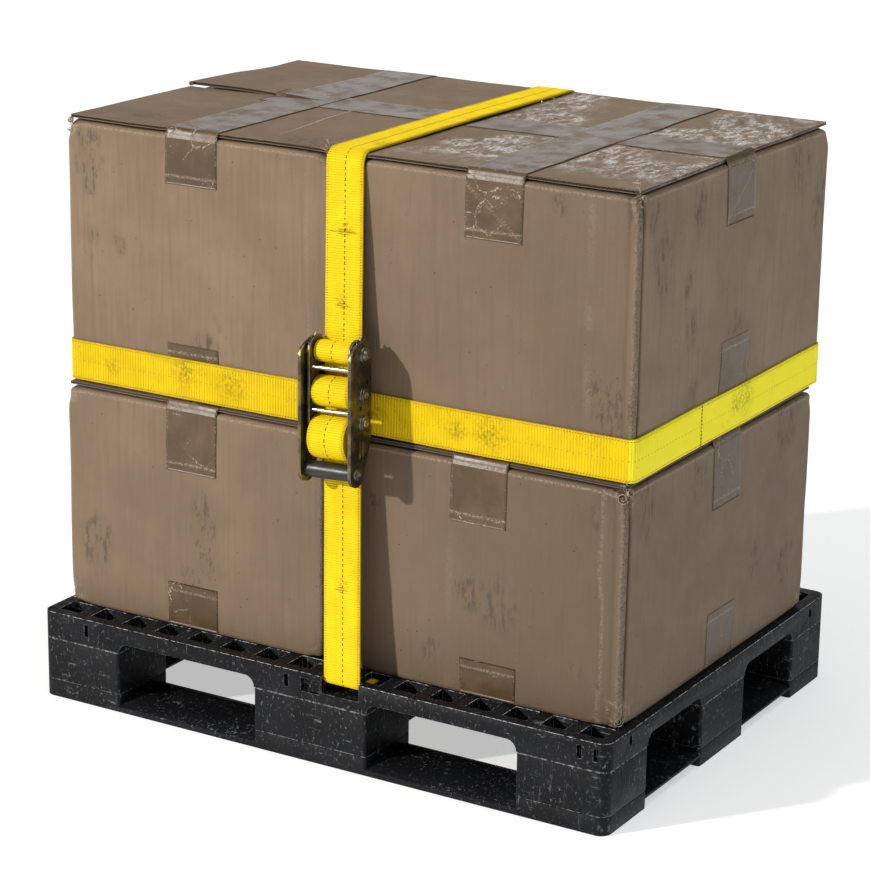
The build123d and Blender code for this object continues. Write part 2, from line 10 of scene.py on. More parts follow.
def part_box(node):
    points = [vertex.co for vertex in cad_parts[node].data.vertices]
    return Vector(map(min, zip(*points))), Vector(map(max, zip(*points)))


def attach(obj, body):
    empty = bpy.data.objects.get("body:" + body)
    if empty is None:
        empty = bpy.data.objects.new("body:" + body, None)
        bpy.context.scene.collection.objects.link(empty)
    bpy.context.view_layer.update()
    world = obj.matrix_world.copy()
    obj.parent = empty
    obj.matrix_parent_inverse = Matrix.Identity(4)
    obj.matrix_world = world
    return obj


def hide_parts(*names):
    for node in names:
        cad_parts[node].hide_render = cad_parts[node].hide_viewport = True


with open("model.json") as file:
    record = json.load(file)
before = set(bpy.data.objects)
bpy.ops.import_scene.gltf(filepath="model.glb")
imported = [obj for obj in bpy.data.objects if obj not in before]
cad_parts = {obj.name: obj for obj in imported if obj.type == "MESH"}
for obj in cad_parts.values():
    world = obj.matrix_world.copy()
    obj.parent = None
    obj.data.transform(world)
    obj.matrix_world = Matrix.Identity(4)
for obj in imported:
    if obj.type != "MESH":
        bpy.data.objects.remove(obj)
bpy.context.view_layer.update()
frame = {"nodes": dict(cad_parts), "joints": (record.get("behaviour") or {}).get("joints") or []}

bl_info = {
    "name": "Strapped carton stack",
    "version": (1, 0, 0),
    "blender": (4, 5, 0),
    "location": "View3D > Sidebar > Carton stack",
    "description": "Dresses a pallet of taped cartons, its webbing and its ratchet",
    "category": "Object",
}

# Sizes are in millimetres in the row frame, unless a name says otherwise.
MM = 0.001
UP = np.array((0.0, 0.0, 1.0))
CARTON_NAMES = ("lower_left", "lower_right", "upper_left", "upper_right")
LOAD, HANDLE = "load", "handle"


# ---------------------------------------------------------------- settings

class CartonSettings(bpy.types.PropertyGroup):
    board: bpy.props.FloatProperty(
        name="Board thickness", description="Thickness of the corrugated flaps", default=4.2 * MM,
        unit="LENGTH")
    flute_pitch: bpy.props.FloatProperty(
        name="Flute pitch", description="Distance between two flutes of the board", default=4.6 * MM,
        unit="LENGTH")
    fold_radius: bpy.props.FloatProperty(
        name="Fold radius", description="Rounding of the folded edges", default=5.5 * MM, unit="LENGTH")
    flap_inset: bpy.props.FloatProperty(
        name="Flap inset", description="How far a flap's cut edge sits behind the wall", default=3.6 * MM,
        unit="LENGTH")
    bulge: bpy.props.FloatProperty(
        name="Bulge", description="How far the middle of a wall stands out", default=1.6 * MM, unit="LENGTH")
    kraft: bpy.props.FloatVectorProperty(
        name="Kraft colour", description="Colour of clean board", subtype="COLOR", size=3,
        default=(0.197, 0.131, 0.078))


class TapeSettings(bpy.types.PropertyGroup):
    width: bpy.props.FloatProperty(
        name="Tape width", description="Width of the parcel tape", default=74.0 * MM, unit="LENGTH")
    film: bpy.props.FloatVectorProperty(
        name="Film colour", description="Colour of the tape on the board", subtype="COLOR", size=3,
        default=(0.088, 0.051, 0.022))


class WebbingSettings(bpy.types.PropertyGroup):
    width: bpy.props.FloatProperty(
        name="Webbing width", description="Width of the woven webbing", default=50.0 * MM, unit="LENGTH")
    thickness: bpy.props.FloatProperty(
        name="Webbing thickness", description="Thickness without its ribs", default=2.0 * MM, unit="LENGTH")
    band_rib_pitch: bpy.props.FloatProperty(
        name="Band rib pitch", description="Distance between the band's ribs", default=3.8 * MM,
        unit="LENGTH")
    lashing_rib_pitch: bpy.props.FloatProperty(
        name="Lashing rib pitch", description="Distance between the lashing's ribs", default=2.9 * MM,
        unit="LENGTH")
    yarn: bpy.props.FloatVectorProperty(
        name="Yarn colour", description="Colour of the clean yarn", subtype="COLOR", size=3,
        default=(0.88, 0.66, 0.004))


class PalletSettings(bpy.types.PropertyGroup):
    edge: bpy.props.FloatProperty(
        name="Edge rounding", description="Width of the worn edges of the mouldings", default=1.5 * MM,
        unit="LENGTH")
    plastic: bpy.props.FloatVectorProperty(
        name="Plastic colour", description="Colour of the clean plastic", subtype="COLOR", size=3,
        default=(0.0060, 0.0066, 0.0085))
    scuff: bpy.props.FloatProperty(
        name="Scuffing", description="How much the plastic is scuffed", default=0.5, min=0.0, max=1.0)


class RatchetSettings(bpy.types.PropertyGroup):
    edge: bpy.props.FloatProperty(
        name="Plate edge", description="Width of the bright edges of the plates", default=0.8 * MM,
        unit="LENGTH")
    plating: bpy.props.FloatVectorProperty(
        name="Plating colour", description="Colour of the zinc plating", subtype="COLOR", size=3,
        default=(0.105, 0.095, 0.075))


class StageSettings(bpy.types.PropertyGroup):
    key_power: bpy.props.FloatProperty(
        name="Key light", description="Strength of the low key light", default=3.3)
    sky_power: bpy.props.FloatProperty(
        name="Top light", description="Strength of the soft light above", default=1.2)
    glare_power: bpy.props.FloatProperty(
        name="Back light", description="Strength of the low light behind, for the gloss on top", default=0.20)
    fill_power: bpy.props.FloatProperty(
        name="Side fill", description="Strength of the cool light on the right", default=0.75)
    room: bpy.props.FloatProperty(
        name="Room light", description="Strength of the even light all round", default=0.12, min=0.0, max=2.0)
    floor: bpy.props.FloatVectorProperty(
        name="Floor colour", description="Colour of the pale floor", subtype="COLOR", size=3,
        default=(0.62, 0.62, 0.62))
    floor_glow: bpy.props.FloatProperty(
        name="Floor glow", description="Light that the floor adds", default=0.50, min=0.0)
    eye: bpy.props.FloatVectorProperty(
        name="Camera place", description="Where the camera stands", subtype="XYZ", unit="LENGTH", size=3,
        default=(1.740, -2.933, 1.361))
    yaw: bpy.props.FloatProperty(
        name="Camera yaw", description="Turn of the camera to the right of the front", unit="ROTATION",
        default=math.radians(30.83))
    pitch: bpy.props.FloatProperty(
        name="Camera pitch", description="How far the camera looks down", unit="ROTATION",
        default=math.radians(16.79))
    roll: bpy.props.FloatProperty(
        name="Camera roll", description="Tilt of the camera", unit="ROTATION", default=math.radians(0.86))
    lens: bpy.props.FloatProperty(
        name="Lens", description="Focal length in millimetres", default=118.1, min=1.0)


# ---------------------------------------------------------------- shader maths

class Wire:
    """An output socket of a finish. Arithmetic on it adds the nodes that do the sum."""

    def __init__(self, finish, socket):
        self.finish = finish
        self.socket = socket

    def sum(self, operation, *values):
        vectors = ("VECTOR", "RGBA")
        kinds = [value.socket.type for value in values if isinstance(value, Wire)]
        is_vector = any(kind in vectors for kind in kinds)
        kind = "ShaderNodeVectorMath" if is_vector else "ShaderNodeMath"
        if is_vector:
            values = [value if isinstance(value, Wire) else as_triple(value) for value in values]
        return self.finish.node(kind, {"operation": operation}, dict(enumerate(values)))

    def __add__(self, other):
        return self.sum("ADD", self, other)

    __radd__ = __add__

    def __sub__(self, other):
        return self.sum("SUBTRACT", self, other)

    def __rsub__(self, other):
        return self.sum("SUBTRACT", other, self)

    def __mul__(self, other):
        return self.sum("MULTIPLY", self, other)

    __rmul__ = __mul__

    def __truediv__(self, other):
        return self.sum("DIVIDE", self, other)

    def __pow__(self, other):
        return self.sum("POWER", self, other)

    def __abs__(self):
        return self.sum("ABSOLUTE", self)


def as_triple(value):
    return (value, value, value) if isinstance(value, (int, float)) else tuple(value)


class Finish:
    """A material built node by node."""

    def __init__(self, name):
        self.material = bpy.data.materials.new(name)
        self.material.use_nodes = True
        self.tree = self.material.node_tree
        self.tree.nodes.clear()

    def node(self, kind, settings=None, inputs=None, output=0):
        """Add a node, set it up, feed its sockets and return one of its outputs."""
        made = self.tree.nodes.new(kind)
        for key, value in (settings or {}).items():
            if key == "stops":
                self.fill_ramp(made.color_ramp, value)
            else:
                setattr(made, key, value)
        for key, value in (inputs or {}).items():
            if isinstance(value, Wire):
                self.tree.links.new(value.socket, made.inputs[key])
            else:
                made.inputs[key].default_value = value
        return Wire(self, made.outputs[output]) if made.outputs else None

    @staticmethod
    def fill_ramp(ramp, stops):
        while len(ramp.elements) < len(stops):
            ramp.elements.new(0.5)
        for element, (place, shade) in zip(ramp.elements, stops):
            element.position = place
            element.color = (*shade, 1.0) if len(shade) == 3 else shade

    def place(self):
        return self.node("ShaderNodeTexCoord", output="Object")

    def map(self):
        return self.node("ShaderNodeTexCoord", output="UV")

    def attribute(self, name):
        return self.node("ShaderNodeAttribute", {"attribute_name": name}, output="Fac")

    def axes(self, vector):
        return [self.node("ShaderNodeSeparateXYZ", inputs={0: vector}, output=axis) for axis in range(3)]

    def joined(self, x, y, z):
        return self.node("ShaderNodeCombineXYZ", inputs={0: x, 1: y, 2: z})

    def noise(self, where, scale, detail=3.0, roughness=0.55, stretch=None):
        if stretch is not None:
            where = where * stretch
        return self.node("ShaderNodeTexNoise", inputs={
            "Vector": where, "Scale": scale, "Detail": detail, "Roughness": roughness})

    def cells(self, where, scale, feature="F1", output="Distance"):
        return self.node("ShaderNodeTexVoronoi", {"feature": feature}, {"Vector": where, "Scale": scale},
            output)

    def ramp(self, value, low, high):
        """0 below low, 1 above high and smooth between. Low may be the larger."""
        flipped = low > high
        made = self.node("ShaderNodeMapRange", {"interpolation_type": "SMOOTHSTEP"}, {
            "Value": value, "From Min": min(low, high), "From Max": max(low, high)})
        return 1 - made if flipped else made

    def mix(self, share, first, second):
        """Blend of two colours."""
        return self.node("ShaderNodeMix", {"data_type": "RGBA"}, {
            0: share, 6: as_colour(first), 7: as_colour(second)}, output=2)

    def spots(self, where, places):
        """Soft round marks at places given as (x, y, z, radius), in millimetres."""
        total = None
        for x, y, z, radius in places:
            distance = self.node("ShaderNodeVectorMath", {"operation": "DISTANCE"}, {
                0: where, 1: (x * MM, y * MM, z * MM)}, output="Value")
            mark = self.ramp(distance, radius * MM, 0.1 * radius * MM)
            total = mark if total is None else total.sum("MAXIMUM", total, mark)
        return total

    def bump(self, height, distance, strength=1.0, normal=None):
        inputs = {"Height": height, "Distance": distance, "Strength": strength}
        if normal is not None:
            inputs["Normal"] = normal
        return self.node("ShaderNodeBump", inputs=inputs)

    def surface(self, **sockets):
        """Close the finish with the main shader. Names use _ for a space."""
        inputs = {}
        for key, value in sockets.items():
            is_colour = key.endswith(("color", "tint")) and not isinstance(value, Wire)
            label = key.replace("_", " ").title().replace("Ior", "IOR")
            inputs[label] = as_colour(value) if is_colour else value
        shader = self.node("ShaderNodeBsdfPrincipled", inputs=inputs)
        self.node("ShaderNodeOutputMaterial", inputs={"Surface": shader})
        return self.material


def as_colour(value):
    return value if isinstance(value, Wire) or len(value) == 4 else (*value, 1.0)


# ---------------------------------------------------------------- finishes

def kraft_board(settings):
    """Stained kraft board: streaks, specks, frayed folds, a wet patch, and painted shade: near-black cut
    edges, grooves and deep dents, front walls darker towards the right and on the lower cartons, and a darker
    lower right side wall.
    """
    f = Finish("kraft_board")
    p = f.place()
    x, y, z = f.axes(p)
    upright = p * (1.0, 1.0, 0.05)
    fold, core, wet = f.attribute("fold"), f.attribute("core"), f.attribute("wet")
    smear = f.attribute("smear")
    clouds = f.noise(p, 9.0, 4.0)
    blotch = f.noise(p, 34.0, 5.0, 0.6)
    streak = f.noise(upright, 190.0, 4.0, 0.6)
    fine = f.noise(upright, 700.0, 2.0)
    grain = f.noise(p, 900.0, 2.0)
    clean = settings.kraft
    pale = [min(1.0, c * 1.22) for c in clean]
    deep = [c * 0.70 for c in clean]
    shade = f.mix(f.ramp(clouds, 0.35, 0.68), [c * 0.9 for c in clean], [c * 1.1 for c in clean])
    shade = f.mix(f.ramp(streak, 0.50, 0.74) * 0.48, shade, deep)
    shade = f.mix(f.ramp(streak, 0.47, 0.24) * 0.38, shade, pale)
    shade = f.mix(f.ramp(fine, 0.60, 0.80) * 0.18, shade, deep)
    shade = f.mix(f.ramp(grain, 0.58, 0.74) * 0.22, shade, pale)
    # Painted shade: the front walls are darkened towards the right and on the lower cartons, for light that
    # falls off across the stack.
    front_wall_painted_shade = f.ramp(y, -0.240, -0.2455) * (f.ramp(x, -0.16, 0.38) * 0.62 + f.ramp(z, 0.43, 0.37) * 0.24)
    shade = f.mix(front_wall_painted_shade, shade, [c * 0.50 for c in clean])
    # Painted shade: the right wall of the lower right carton is darkened.
    low_right_painted_shade = f.ramp(x, 0.380, 0.386) * f.ramp(z, 0.43, 0.36)
    shade = f.mix(low_right_painted_shade * 0.5, shade, [c * 0.62 for c in clean])
    patchy = f.ramp(blotch, 0.56, 0.70) * f.ramp(clouds, 0.48, 0.62)
    brushed = f.ramp(f.noise(p * (1.0, 1.0, 0.35), 120.0, 6.0, 0.72), 0.52, 0.66)
    dirt = patchy * brushed
    shade = f.mix(dirt * 0.5, shade, (0.060, 0.046, 0.034))
    rubbed = f.noise(p * (1.0, 1.0, 0.32), 120.0, 7.0, 0.78)
    fleck = f.ramp(rubbed, 0.49, 0.60) * f.ramp(smear, 0.03, 0.60)
    shade = f.mix(f.ramp(smear, 0.0, 0.9) * 0.34, shade, deep)
    shade = f.mix(fleck * 0.68, shade, (0.045, 0.034, 0.025))
    dots = f.ramp(f.cells(p, 78.0), 0.10, 0.045) * f.ramp(f.noise(p, 60.0, 1.0), 0.50, 0.56)
    pits = f.ramp(f.cells(p + (0.31, 0.17, 0.05), 33.0), 0.055, 0.02)
    pits = pits * f.ramp(f.noise(p, 25.0, 1.0), 0.48, 0.54)
    specks = dots.sum("MAXIMUM", dots, pits)
    shade = f.mix(specks * 0.8, shade, (0.040, 0.026, 0.018))
    fray = fold * f.ramp(f.noise(p, 420.0, 3.0, 0.7), 0.40, 0.56)
    shade = f.mix(fray * 0.55, shade, (0.44, 0.35, 0.26))
    worn = f.ramp(f.noise(p * (1.0, 1.0, 0.5), 230.0, 4.0, 0.7), 0.66, 0.76)
    shade = f.mix(worn * 0.22, shade, (0.38, 0.30, 0.22))
    # Painted shade: the places marked as core (cut edges, grooves and deep dents) are painted near-black for
    # the shade in their hollows.
    shade = f.mix(core, shade, (0.020, 0.013, 0.009))
    beads = f.ramp(f.cells(p, 210.0, "SMOOTH_F1"), 0.46, 0.22) * wet
    wetness = wet * f.ramp(f.noise(p * (1.0, 0.55, 1.0), 75.0, 8.0, 0.78), 0.42, 0.58)
    shade = f.mix(wetness * 0.42, shade, [c * 0.66 for c in clean])
    dry = 0.74 - f.ramp(blotch, 0.4, 0.7) * 0.10 - fold * 0.05
    rough = dry - wetness * 0.54 - beads * 0.04
    waves = (x + y) * (2 * math.pi / 0.0078)
    flutes = f.node("ShaderNodeMath", {"operation": "SINE"}, {0: waves})
    height = grain * 0.10 + fine * 0.16 + streak * 0.35 + flutes * 0.045 + blotch * 0.5 - specks * 0.5
    height = height + f.noise(p, 75.0, 3.0, 0.6) * 0.55 + beads * 0.55 + fray * 0.8
    normal = f.bump(height, 0.0011, 0.62)
    return f.surface(base_color=shade, roughness=rough, normal=normal, specular_ior_level=0.45)


def torn_liner(settings):
    """Pale inside of torn board: fibres, curls and shreds."""
    f = Finish("torn_liner")
    p = f.place()
    fibre = f.noise(p * (1.0, 1.0, 0.25), 900.0, 4.0, 0.7)
    shade = f.mix(f.ramp(fibre, 0.36, 0.66), [c * 0.85 for c in settings.kraft], (0.66, 0.56, 0.44))
    normal = f.bump(fibre, 0.0006, 0.8)
    return f.surface(base_color=shade, roughness=0.78, normal=normal)


def flute_core(settings):
    """The wavy paper between the two liners, seen at a cut edge."""
    f = Finish("flute_core")
    grain = f.noise(f.place(), 800.0, 3.0)
    shade = f.mix(f.ramp(grain, 0.38, 0.62), [c * 0.30 for c in settings.kraft],
        [c * 0.75 for c in settings.kraft])
    return f.surface(base_color=shade, roughness=0.85)


def parcel_film(settings):
    """Brown tape: glossy film with crinkles, pale creases, bubbles and a dull border."""
    f = Finish("parcel_film")
    p = f.place()
    v = f.axes(f.map())[1]
    film = settings.film
    cloud = f.noise(p, 30.0, 4.0, 0.6)
    below = f.noise(p * (1.0, 1.0, 0.12), 170.0, 4.0, 0.6)
    shade = f.mix(f.ramp(cloud, 0.35, 0.68), [c * 0.84 for c in film], [c * 1.2 for c in film])
    shade = f.mix(f.ramp(below, 0.50, 0.78) * 0.35, shade, [c * 0.62 for c in film])
    rim = f.ramp(abs(v), settings.width * 0.5 - 0.0042, settings.width * 0.5 - 0.0012)
    bent = f.noise(p, 46.0, 2.0, 0.5)
    web = f.cells(p + f.joined(bent, bent, bent) * 0.02, 26.0, "DISTANCE_TO_EDGE")
    line = f.ramp(web, 0.030, 0.008)
    broken = f.ramp(f.noise(p, 520.0, 2.0, 0.6), 0.50, 0.60)
    region = f.ramp(f.noise(p, 15.0, 2.0), 0.50, 0.60)
    crinkle = line * broken * region
    crease = f.attribute("crease") * f.ramp(f.noise(p, 480.0, 2.0, 0.6), 0.44, 0.56)
    rim_line = rim * f.ramp(f.noise(p, 430.0, 2.0), 0.57, 0.68)
    white = crinkle.sum("MAXIMUM", crinkle, crease)
    white = white.sum("MAXIMUM", white, rim_line * 0.55)
    shade = f.mix(white * 0.66, shade, (0.56, 0.48, 0.39))
    specks = f.ramp(f.cells(p, 120.0), 0.10, 0.05) * f.ramp(f.noise(p, 70.0, 1.0), 0.52, 0.58)
    shade = f.mix(specks * 0.7, shade, (0.035, 0.022, 0.014))
    rough = 0.36 + f.ramp(cloud, 0.4, 0.7) * 0.16 + white * 0.2
    wrinkle = f.noise(p * (1.0, 1.0, 0.5), 130.0, 4.0, 0.6)
    height = wrinkle * 0.7 + line * region * 0.7 + f.attribute("crease") * 0.8 + f.noise(p, 420.0, 2.0) * 0.12
    normal = f.bump(height, 0.0008, 0.6)
    return f.surface(base_color=shade, roughness=rough, normal=normal, specular_ior_level=0.42)


def webbing_yarn(settings, name, tone, grime):
    """Yellow polyester weave with grime in the marked places. The webbing on the right end wall is painted
    lighter, as painted light, and the low points of the weave are darker, as painted shade.
    """
    f = Finish(name)
    p = f.place()
    x = f.axes(p)[0]
    u, v, _ = f.axes(f.map())
    yarn = [c * t for c, t in zip(settings.yarn, tone)]
    soft = f.noise(p, 40.0, 4.0, 0.6)
    shade = f.mix(f.ramp(soft, 0.35, 0.7), [c * 0.92 for c in yarn], [min(1.0, c * 1.05) for c in yarn])
    # Painted light: the webbing on the right end wall is painted lighter.
    right_wall_painted_light = f.ramp(x, 0.386, 0.3905)
    shade = f.mix(right_wall_painted_light * 0.85, shade, (0.98, 0.86, 0.030))
    edge = f.ramp(abs(v), settings.width * 0.5 - 0.0012, settings.width * 0.5)
    shade = f.mix(edge * 0.35, shade, (yarn[0] * 0.55, yarn[1] * 0.42, yarn[2]))
    warp = f.node("ShaderNodeMath", {"operation": "SINE"}, {0: v * (2 * math.pi / 0.0017)})
    weft = f.node("ShaderNodeMath", {"operation": "SINE"}, {0: u * (2 * math.pi / 0.0013)})
    weave = warp * weft
    # Painted shade: the low points of the weave are darkened.
    shade = f.mix(f.ramp(weave, -0.1, -0.9) * 0.28, shade, (yarn[0] * 0.60, yarn[1] * 0.46, 0.0))
    broken = f.noise(p, 260.0, 5.0, 0.72)
    marks = f.spots(p, grime) * f.ramp(broken, 0.44, 0.60)
    light_soil = f.ramp(f.noise(p, 22.0, 4.0, 0.65), 0.56, 0.72) * f.ramp(broken, 0.50, 0.66)
    soil = marks.sum("MAXIMUM", marks * 0.55, light_soil * 0.36)
    shade = f.mix(soil, shade, (0.115, 0.085, 0.012))
    specks = f.ramp(f.cells(p, 110.0), 0.12, 0.06) * f.ramp(f.noise(p, 50.0, 1.0), 0.56, 0.60)
    shade = f.mix(specks * 0.6, shade, (0.10, 0.07, 0.01))
    height = weave * 0.5 + broken * 0.4
    normal = f.bump(height, 0.00035, 0.7)
    return f.surface(base_color=shade, roughness=0.58 + soil * 0.2, normal=normal, specular_ior_level=0.12)


def stitch_thread(name, colour):
    f = Finish(name)
    fibre = f.noise(f.place(), 2600.0, 2.0)
    shade = f.mix(fibre, [c * 0.6 for c in colour], [c * 1.3 for c in colour])
    return f.surface(base_color=shade, roughness=0.7)


def moulded_plastic(settings, worn):
    """Black plastic with pale scuffs. The worn version is for the rubbed edges."""
    f = Finish("worn_plastic" if worn else "moulded_plastic")
    p = f.place()
    z = f.axes(p)[2]
    base = settings.plastic
    cloud = f.noise(p, 14.0, 4.0, 0.6)
    shade = f.mix(f.ramp(cloud, 0.35, 0.68), [c * 0.55 for c in base], [c * 1.1 for c in base])
    stipple = f.noise(p * (1.0, 1.0, 0.55), 260.0, 4.0, 0.72)
    area = f.ramp(f.noise(p, 26.0, 4.0, 0.65), 0.42, 0.62)
    flecks = f.ramp(stipple, 0.575, 0.64) * (0.22 + area * 0.78)
    scrape = f.noise(p * (0.25, 0.25, 1.6), 150.0, 4.0, 0.7)
    scraped = f.ramp(scrape, 0.60, 0.68) * f.ramp(f.noise(p, 31.0, 3.0), 0.50, 0.60)
    drip = f.noise(p * (1.0, 1.0, 0.10), 160.0, 4.0, 0.7)
    dripped = f.ramp(drip, 0.60, 0.70) * f.ramp(f.noise(p + (0.4, 0.1, 0.2), 17.0, 3.0), 0.48, 0.60)
    pale = flecks.sum("MAXIMUM", flecks * 0.52, scraped * 0.50)
    pale = pale.sum("MAXIMUM", pale, dripped * 0.40) * (settings.scuff * 2.0)
    shade = f.mix(pale * 0.66, shade, (0.36, 0.375, 0.40))
    rough = 0.60 - f.ramp(cloud, 0.4, 0.7) * 0.12 + pale * 0.12
    if worn:
        rub = f.ramp(f.noise(p, 190.0, 4.0, 0.7), 0.40, 0.60)
        rim = f.ramp(z, 0.1095, 0.1112)
        lip = f.ramp(z, 0.0108, 0.0092) * f.ramp(z, 0.0035, 0.0052)
        strong = rim.sum("MAXIMUM", rim, lip)
        shade = f.mix(rub * (0.26 + strong * 0.70), shade, (0.72, 0.735, 0.76))
    height = f.noise(p, 700.0, 2.0) * 0.25 + stipple * 0.45 + scrape * 0.2 + cloud * 0.5
    normal = f.bump(height, 0.0009, 0.55)
    return f.surface(base_color=shade, roughness=rough, normal=normal, specular_ior_level=0.16)


def zinc_plate(settings, worn):
    """Plated steel with olive and bronze tints. The worn version is rubbed to bright steel."""
    f = Finish("rubbed_steel" if worn else "zinc_plate")
    p = f.place()
    plating = settings.plating
    tint = f.noise(p, 42.0, 3.0, 0.6)
    shade = f.mix(f.ramp(tint, 0.42, 0.62), [c * 0.75 for c in plating],
                  (plating[0] * 1.9, plating[1] * 1.75, plating[2] * 1.0))
    green = f.noise(p + (0.2, 0.5, 0.1), 65.0, 3.0, 0.6)
    shade = f.mix(f.ramp(green, 0.54, 0.72) * 0.5, shade, (0.19, 0.22, 0.13))
    stain = f.noise(p, 210.0, 5.0, 0.72)
    shade = f.mix(f.ramp(stain, 0.55, 0.70) * 0.6, shade, (0.045, 0.040, 0.034))
    rough = 0.30 + f.ramp(stain, 0.42, 0.68) * 0.25
    if worn:
        bright = f.ramp(f.noise(p, 240.0, 4.0, 0.7), 0.40, 0.58)
        shade = f.mix(0.25 + bright * 0.50, shade, (0.50, 0.49, 0.46))
        rough = 0.24 + bright * 0.10
    scratch = f.noise(p * (1.0, 1.0, 0.07), 900.0, 3.0, 0.6)
    normal = f.bump(scratch * 0.4 + stain * 0.6, 0.0004, 0.5)
    return f.surface(base_color=shade, roughness=rough, normal=normal, metallic=0.93)


def bright_rod():
    f = Finish("bright_rod")
    p = f.place()
    line = f.noise(p * (0.1, 1.0, 1.0), 1500.0, 3.0)
    shade = f.mix(f.ramp(line, 0.4, 0.7), (0.26, 0.25, 0.24), (0.46, 0.46, 0.46))
    normal = f.bump(line, 0.0002, 0.3)
    return f.surface(base_color=shade, roughness=0.24, normal=normal, metallic=1.0)


def grip_plastic():
    f = Finish("grip_plastic")
    p = f.place()
    rub = f.noise(p * (0.12, 1.0, 1.0), 500.0, 4.0, 0.65)
    shade = f.mix(f.ramp(rub, 0.45, 0.75) * 0.6, (0.008, 0.008, 0.010), (0.045, 0.045, 0.052))
    normal = f.bump(rub * 0.6 + f.noise(p, 900.0, 2.0) * 0.4, 0.0003, 0.5)
    return f.surface(base_color=shade, roughness=0.36 + f.ramp(rub, 0.4, 0.7) * 0.12, normal=normal)


def plain_pale(name, colour, glow=0.0):
    f = Finish(name)
    cloud = f.noise(f.place(), 0.8, 2.0)
    shade = f.mix(cloud, [c * 0.985 for c in colour], colour)
    return f.surface(base_color=shade, roughness=0.9, emission_color=(1.0, 1.0, 1.0), emission_strength=glow)


# ---------------------------------------------------------------- shape helpers

def scene_settings():
    return bpy.context.scene.carton_stack


def lumps(points, size, seed):
    """Smooth noise from -1 to 1, one value a point, with lumps of the given size."""
    place = np.asarray(points, float) / size + seed * 7.31
    cell = np.floor(place).astype(np.int64)
    part = place - cell
    part = part * part * (3.0 - 2.0 * part)
    total = np.zeros(len(place))
    for corner in range(8):
        step = np.array([(corner >> axis) & 1 for axis in range(3)])
        key = ((cell + step) * (73856093, 19349663, 83492791)).sum(1) + seed * 2654435
        key = (key ^ (key >> 13)) & 0x7FFFFFFF
        key = (key * 1103515245 + 12345) & 0x7FFFFFFF
        key = (key ^ (key >> 11)) & 0xFFFF
        weight = np.where(step == 1, part, 1.0 - part).prod(1)
        total += weight * (key / 32767.5 - 1.0)
    return total


def near(value, middle, reach):
    """1 at the middle, falling smoothly to 0 at the reach."""
    share = np.clip(1.0 - np.abs(np.asarray(value) - middle) / reach, 0.0, 1.0)
    return share * share * (3.0 - 2.0 * share)


def slope(value, low, high):
    """0 at low, 1 at high and smooth between."""
    share = np.clip((np.asarray(value) - low) / (high - low), 0.0, 1.0)
    return share * share * (3.0 - 2.0 * share)


def graded(low, high, coarse=7.0, fine=1.2):
    """Grid lines from low to high that crowd together near both ends."""
    ends = np.concatenate((np.arange(0.0, 12.0, fine), np.arange(12.0, 48.0, 3.0)))
    ends = ends[ends < (high - low) * 0.45]
    start, stop = low + ends[-1], high - ends[-1]
    middle = np.linspace(start, stop, max(2, int(round((stop - start) / coarse)) + 1))
    return np.concatenate((low + ends[:-1], middle, (high - ends[:-1])[::-1]))


def box_shell(lines):
    """Points and outward quads of a closed box, on three sets of grid lines."""
    clouds, quads, count = [], [], 0
    for axis in range(3):
        first, second = (axis + 1) % 3, (axis + 2) % 3
        rows, columns = len(lines[first]), len(lines[second])
        index = np.arange(rows * columns).reshape(rows, columns)
        for end in (0, -1):
            cloud = np.zeros((rows, columns, 3))
            cloud[:, :, axis] = lines[axis][end]
            cloud[:, :, first] = lines[first][:, None]
            cloud[:, :, second] = lines[second][None, :]
            corners = [index[:-1, :-1], index[1:, :-1], index[1:, 1:], index[:-1, 1:]]
            if end == 0:
                corners.reverse()
            quads.append(np.stack([c.ravel() for c in corners], 1) + count)
            clouds.append(cloud.reshape(-1, 3))
            count += rows * columns
    points, inverse = np.unique(np.concatenate(clouds).round(4), axis=0, return_inverse=True)
    return points, inverse.reshape(-1)[np.concatenate(quads)]


def rounded(points, low, high, radius):
    """Round the edges of a box whose points lie on its surface."""
    inner = np.clip(points, np.asarray(low) + radius, np.asarray(high) - radius)
    away = points - inner
    length = np.linalg.norm(away, axis=1, keepdims=True)
    return inner + away / np.maximum(length, 1e-9) * np.minimum(length, radius)


def new_piece(name, points, faces, material, body=LOAD, attributes=None, uv=None, smooth=True):
    """A mesh piece from points in millimetres, riding on a body."""
    mesh = bpy.data.meshes.new(name)
    mesh.from_pydata((np.asarray(points) * MM).tolist(), [], np.asarray(faces).tolist()
                     if isinstance(faces, np.ndarray) else faces)
    mesh.validate()
    for key, values in (attributes or {}).items():
        layer = mesh.attributes.new(key, "FLOAT", "POINT")
        layer.data.foreach_set("value", np.asarray(values, np.float32))
    if uv is not None:
        layer = mesh.uv_layers.new(name="UVMap")
        corner = np.zeros(len(mesh.loops), np.int32)
        mesh.loops.foreach_get("vertex_index", corner)
        layer.data.foreach_set("uv", (np.asarray(uv) * MM)[corner].astype(np.float32).ravel())
    if smooth:
        mesh.shade_smooth()
    piece = bpy.data.objects.new(name, mesh)
    bpy.context.scene.collection.objects.link(piece)
    for entry in material if isinstance(material, (list, tuple)) else [material]:
        mesh.materials.append(entry)
    return riding(piece, body)


def riding(piece, body):
    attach(piece, body)
    return piece


def settled(piece):
    """Turn a piece with its modifiers into a plain mesh."""
    graph = bpy.context.evaluated_depsgraph_get()
    mesh = bpy.data.meshes.new_from_object(piece.evaluated_get(graph))
    mesh.name = piece.name
    piece.modifiers.clear()
    piece.data = mesh
    return piece


def merged_copy(node, name):
    """The CAD node's shape as a welded mesh without its inner triangle edges."""
    shape = bmesh.new()
    shape.from_mesh(frame["nodes"][node].data)
    bmesh.ops.remove_doubles(shape, verts=shape.verts, dist=1e-6)
    bmesh.ops.dissolve_limit(shape, angle_limit=math.radians(0.6), verts=shape.verts, edges=shape.edges)
    mesh = bpy.data.meshes.new(name)
    shape.to_mesh(mesh)
    shape.free()
    return mesh


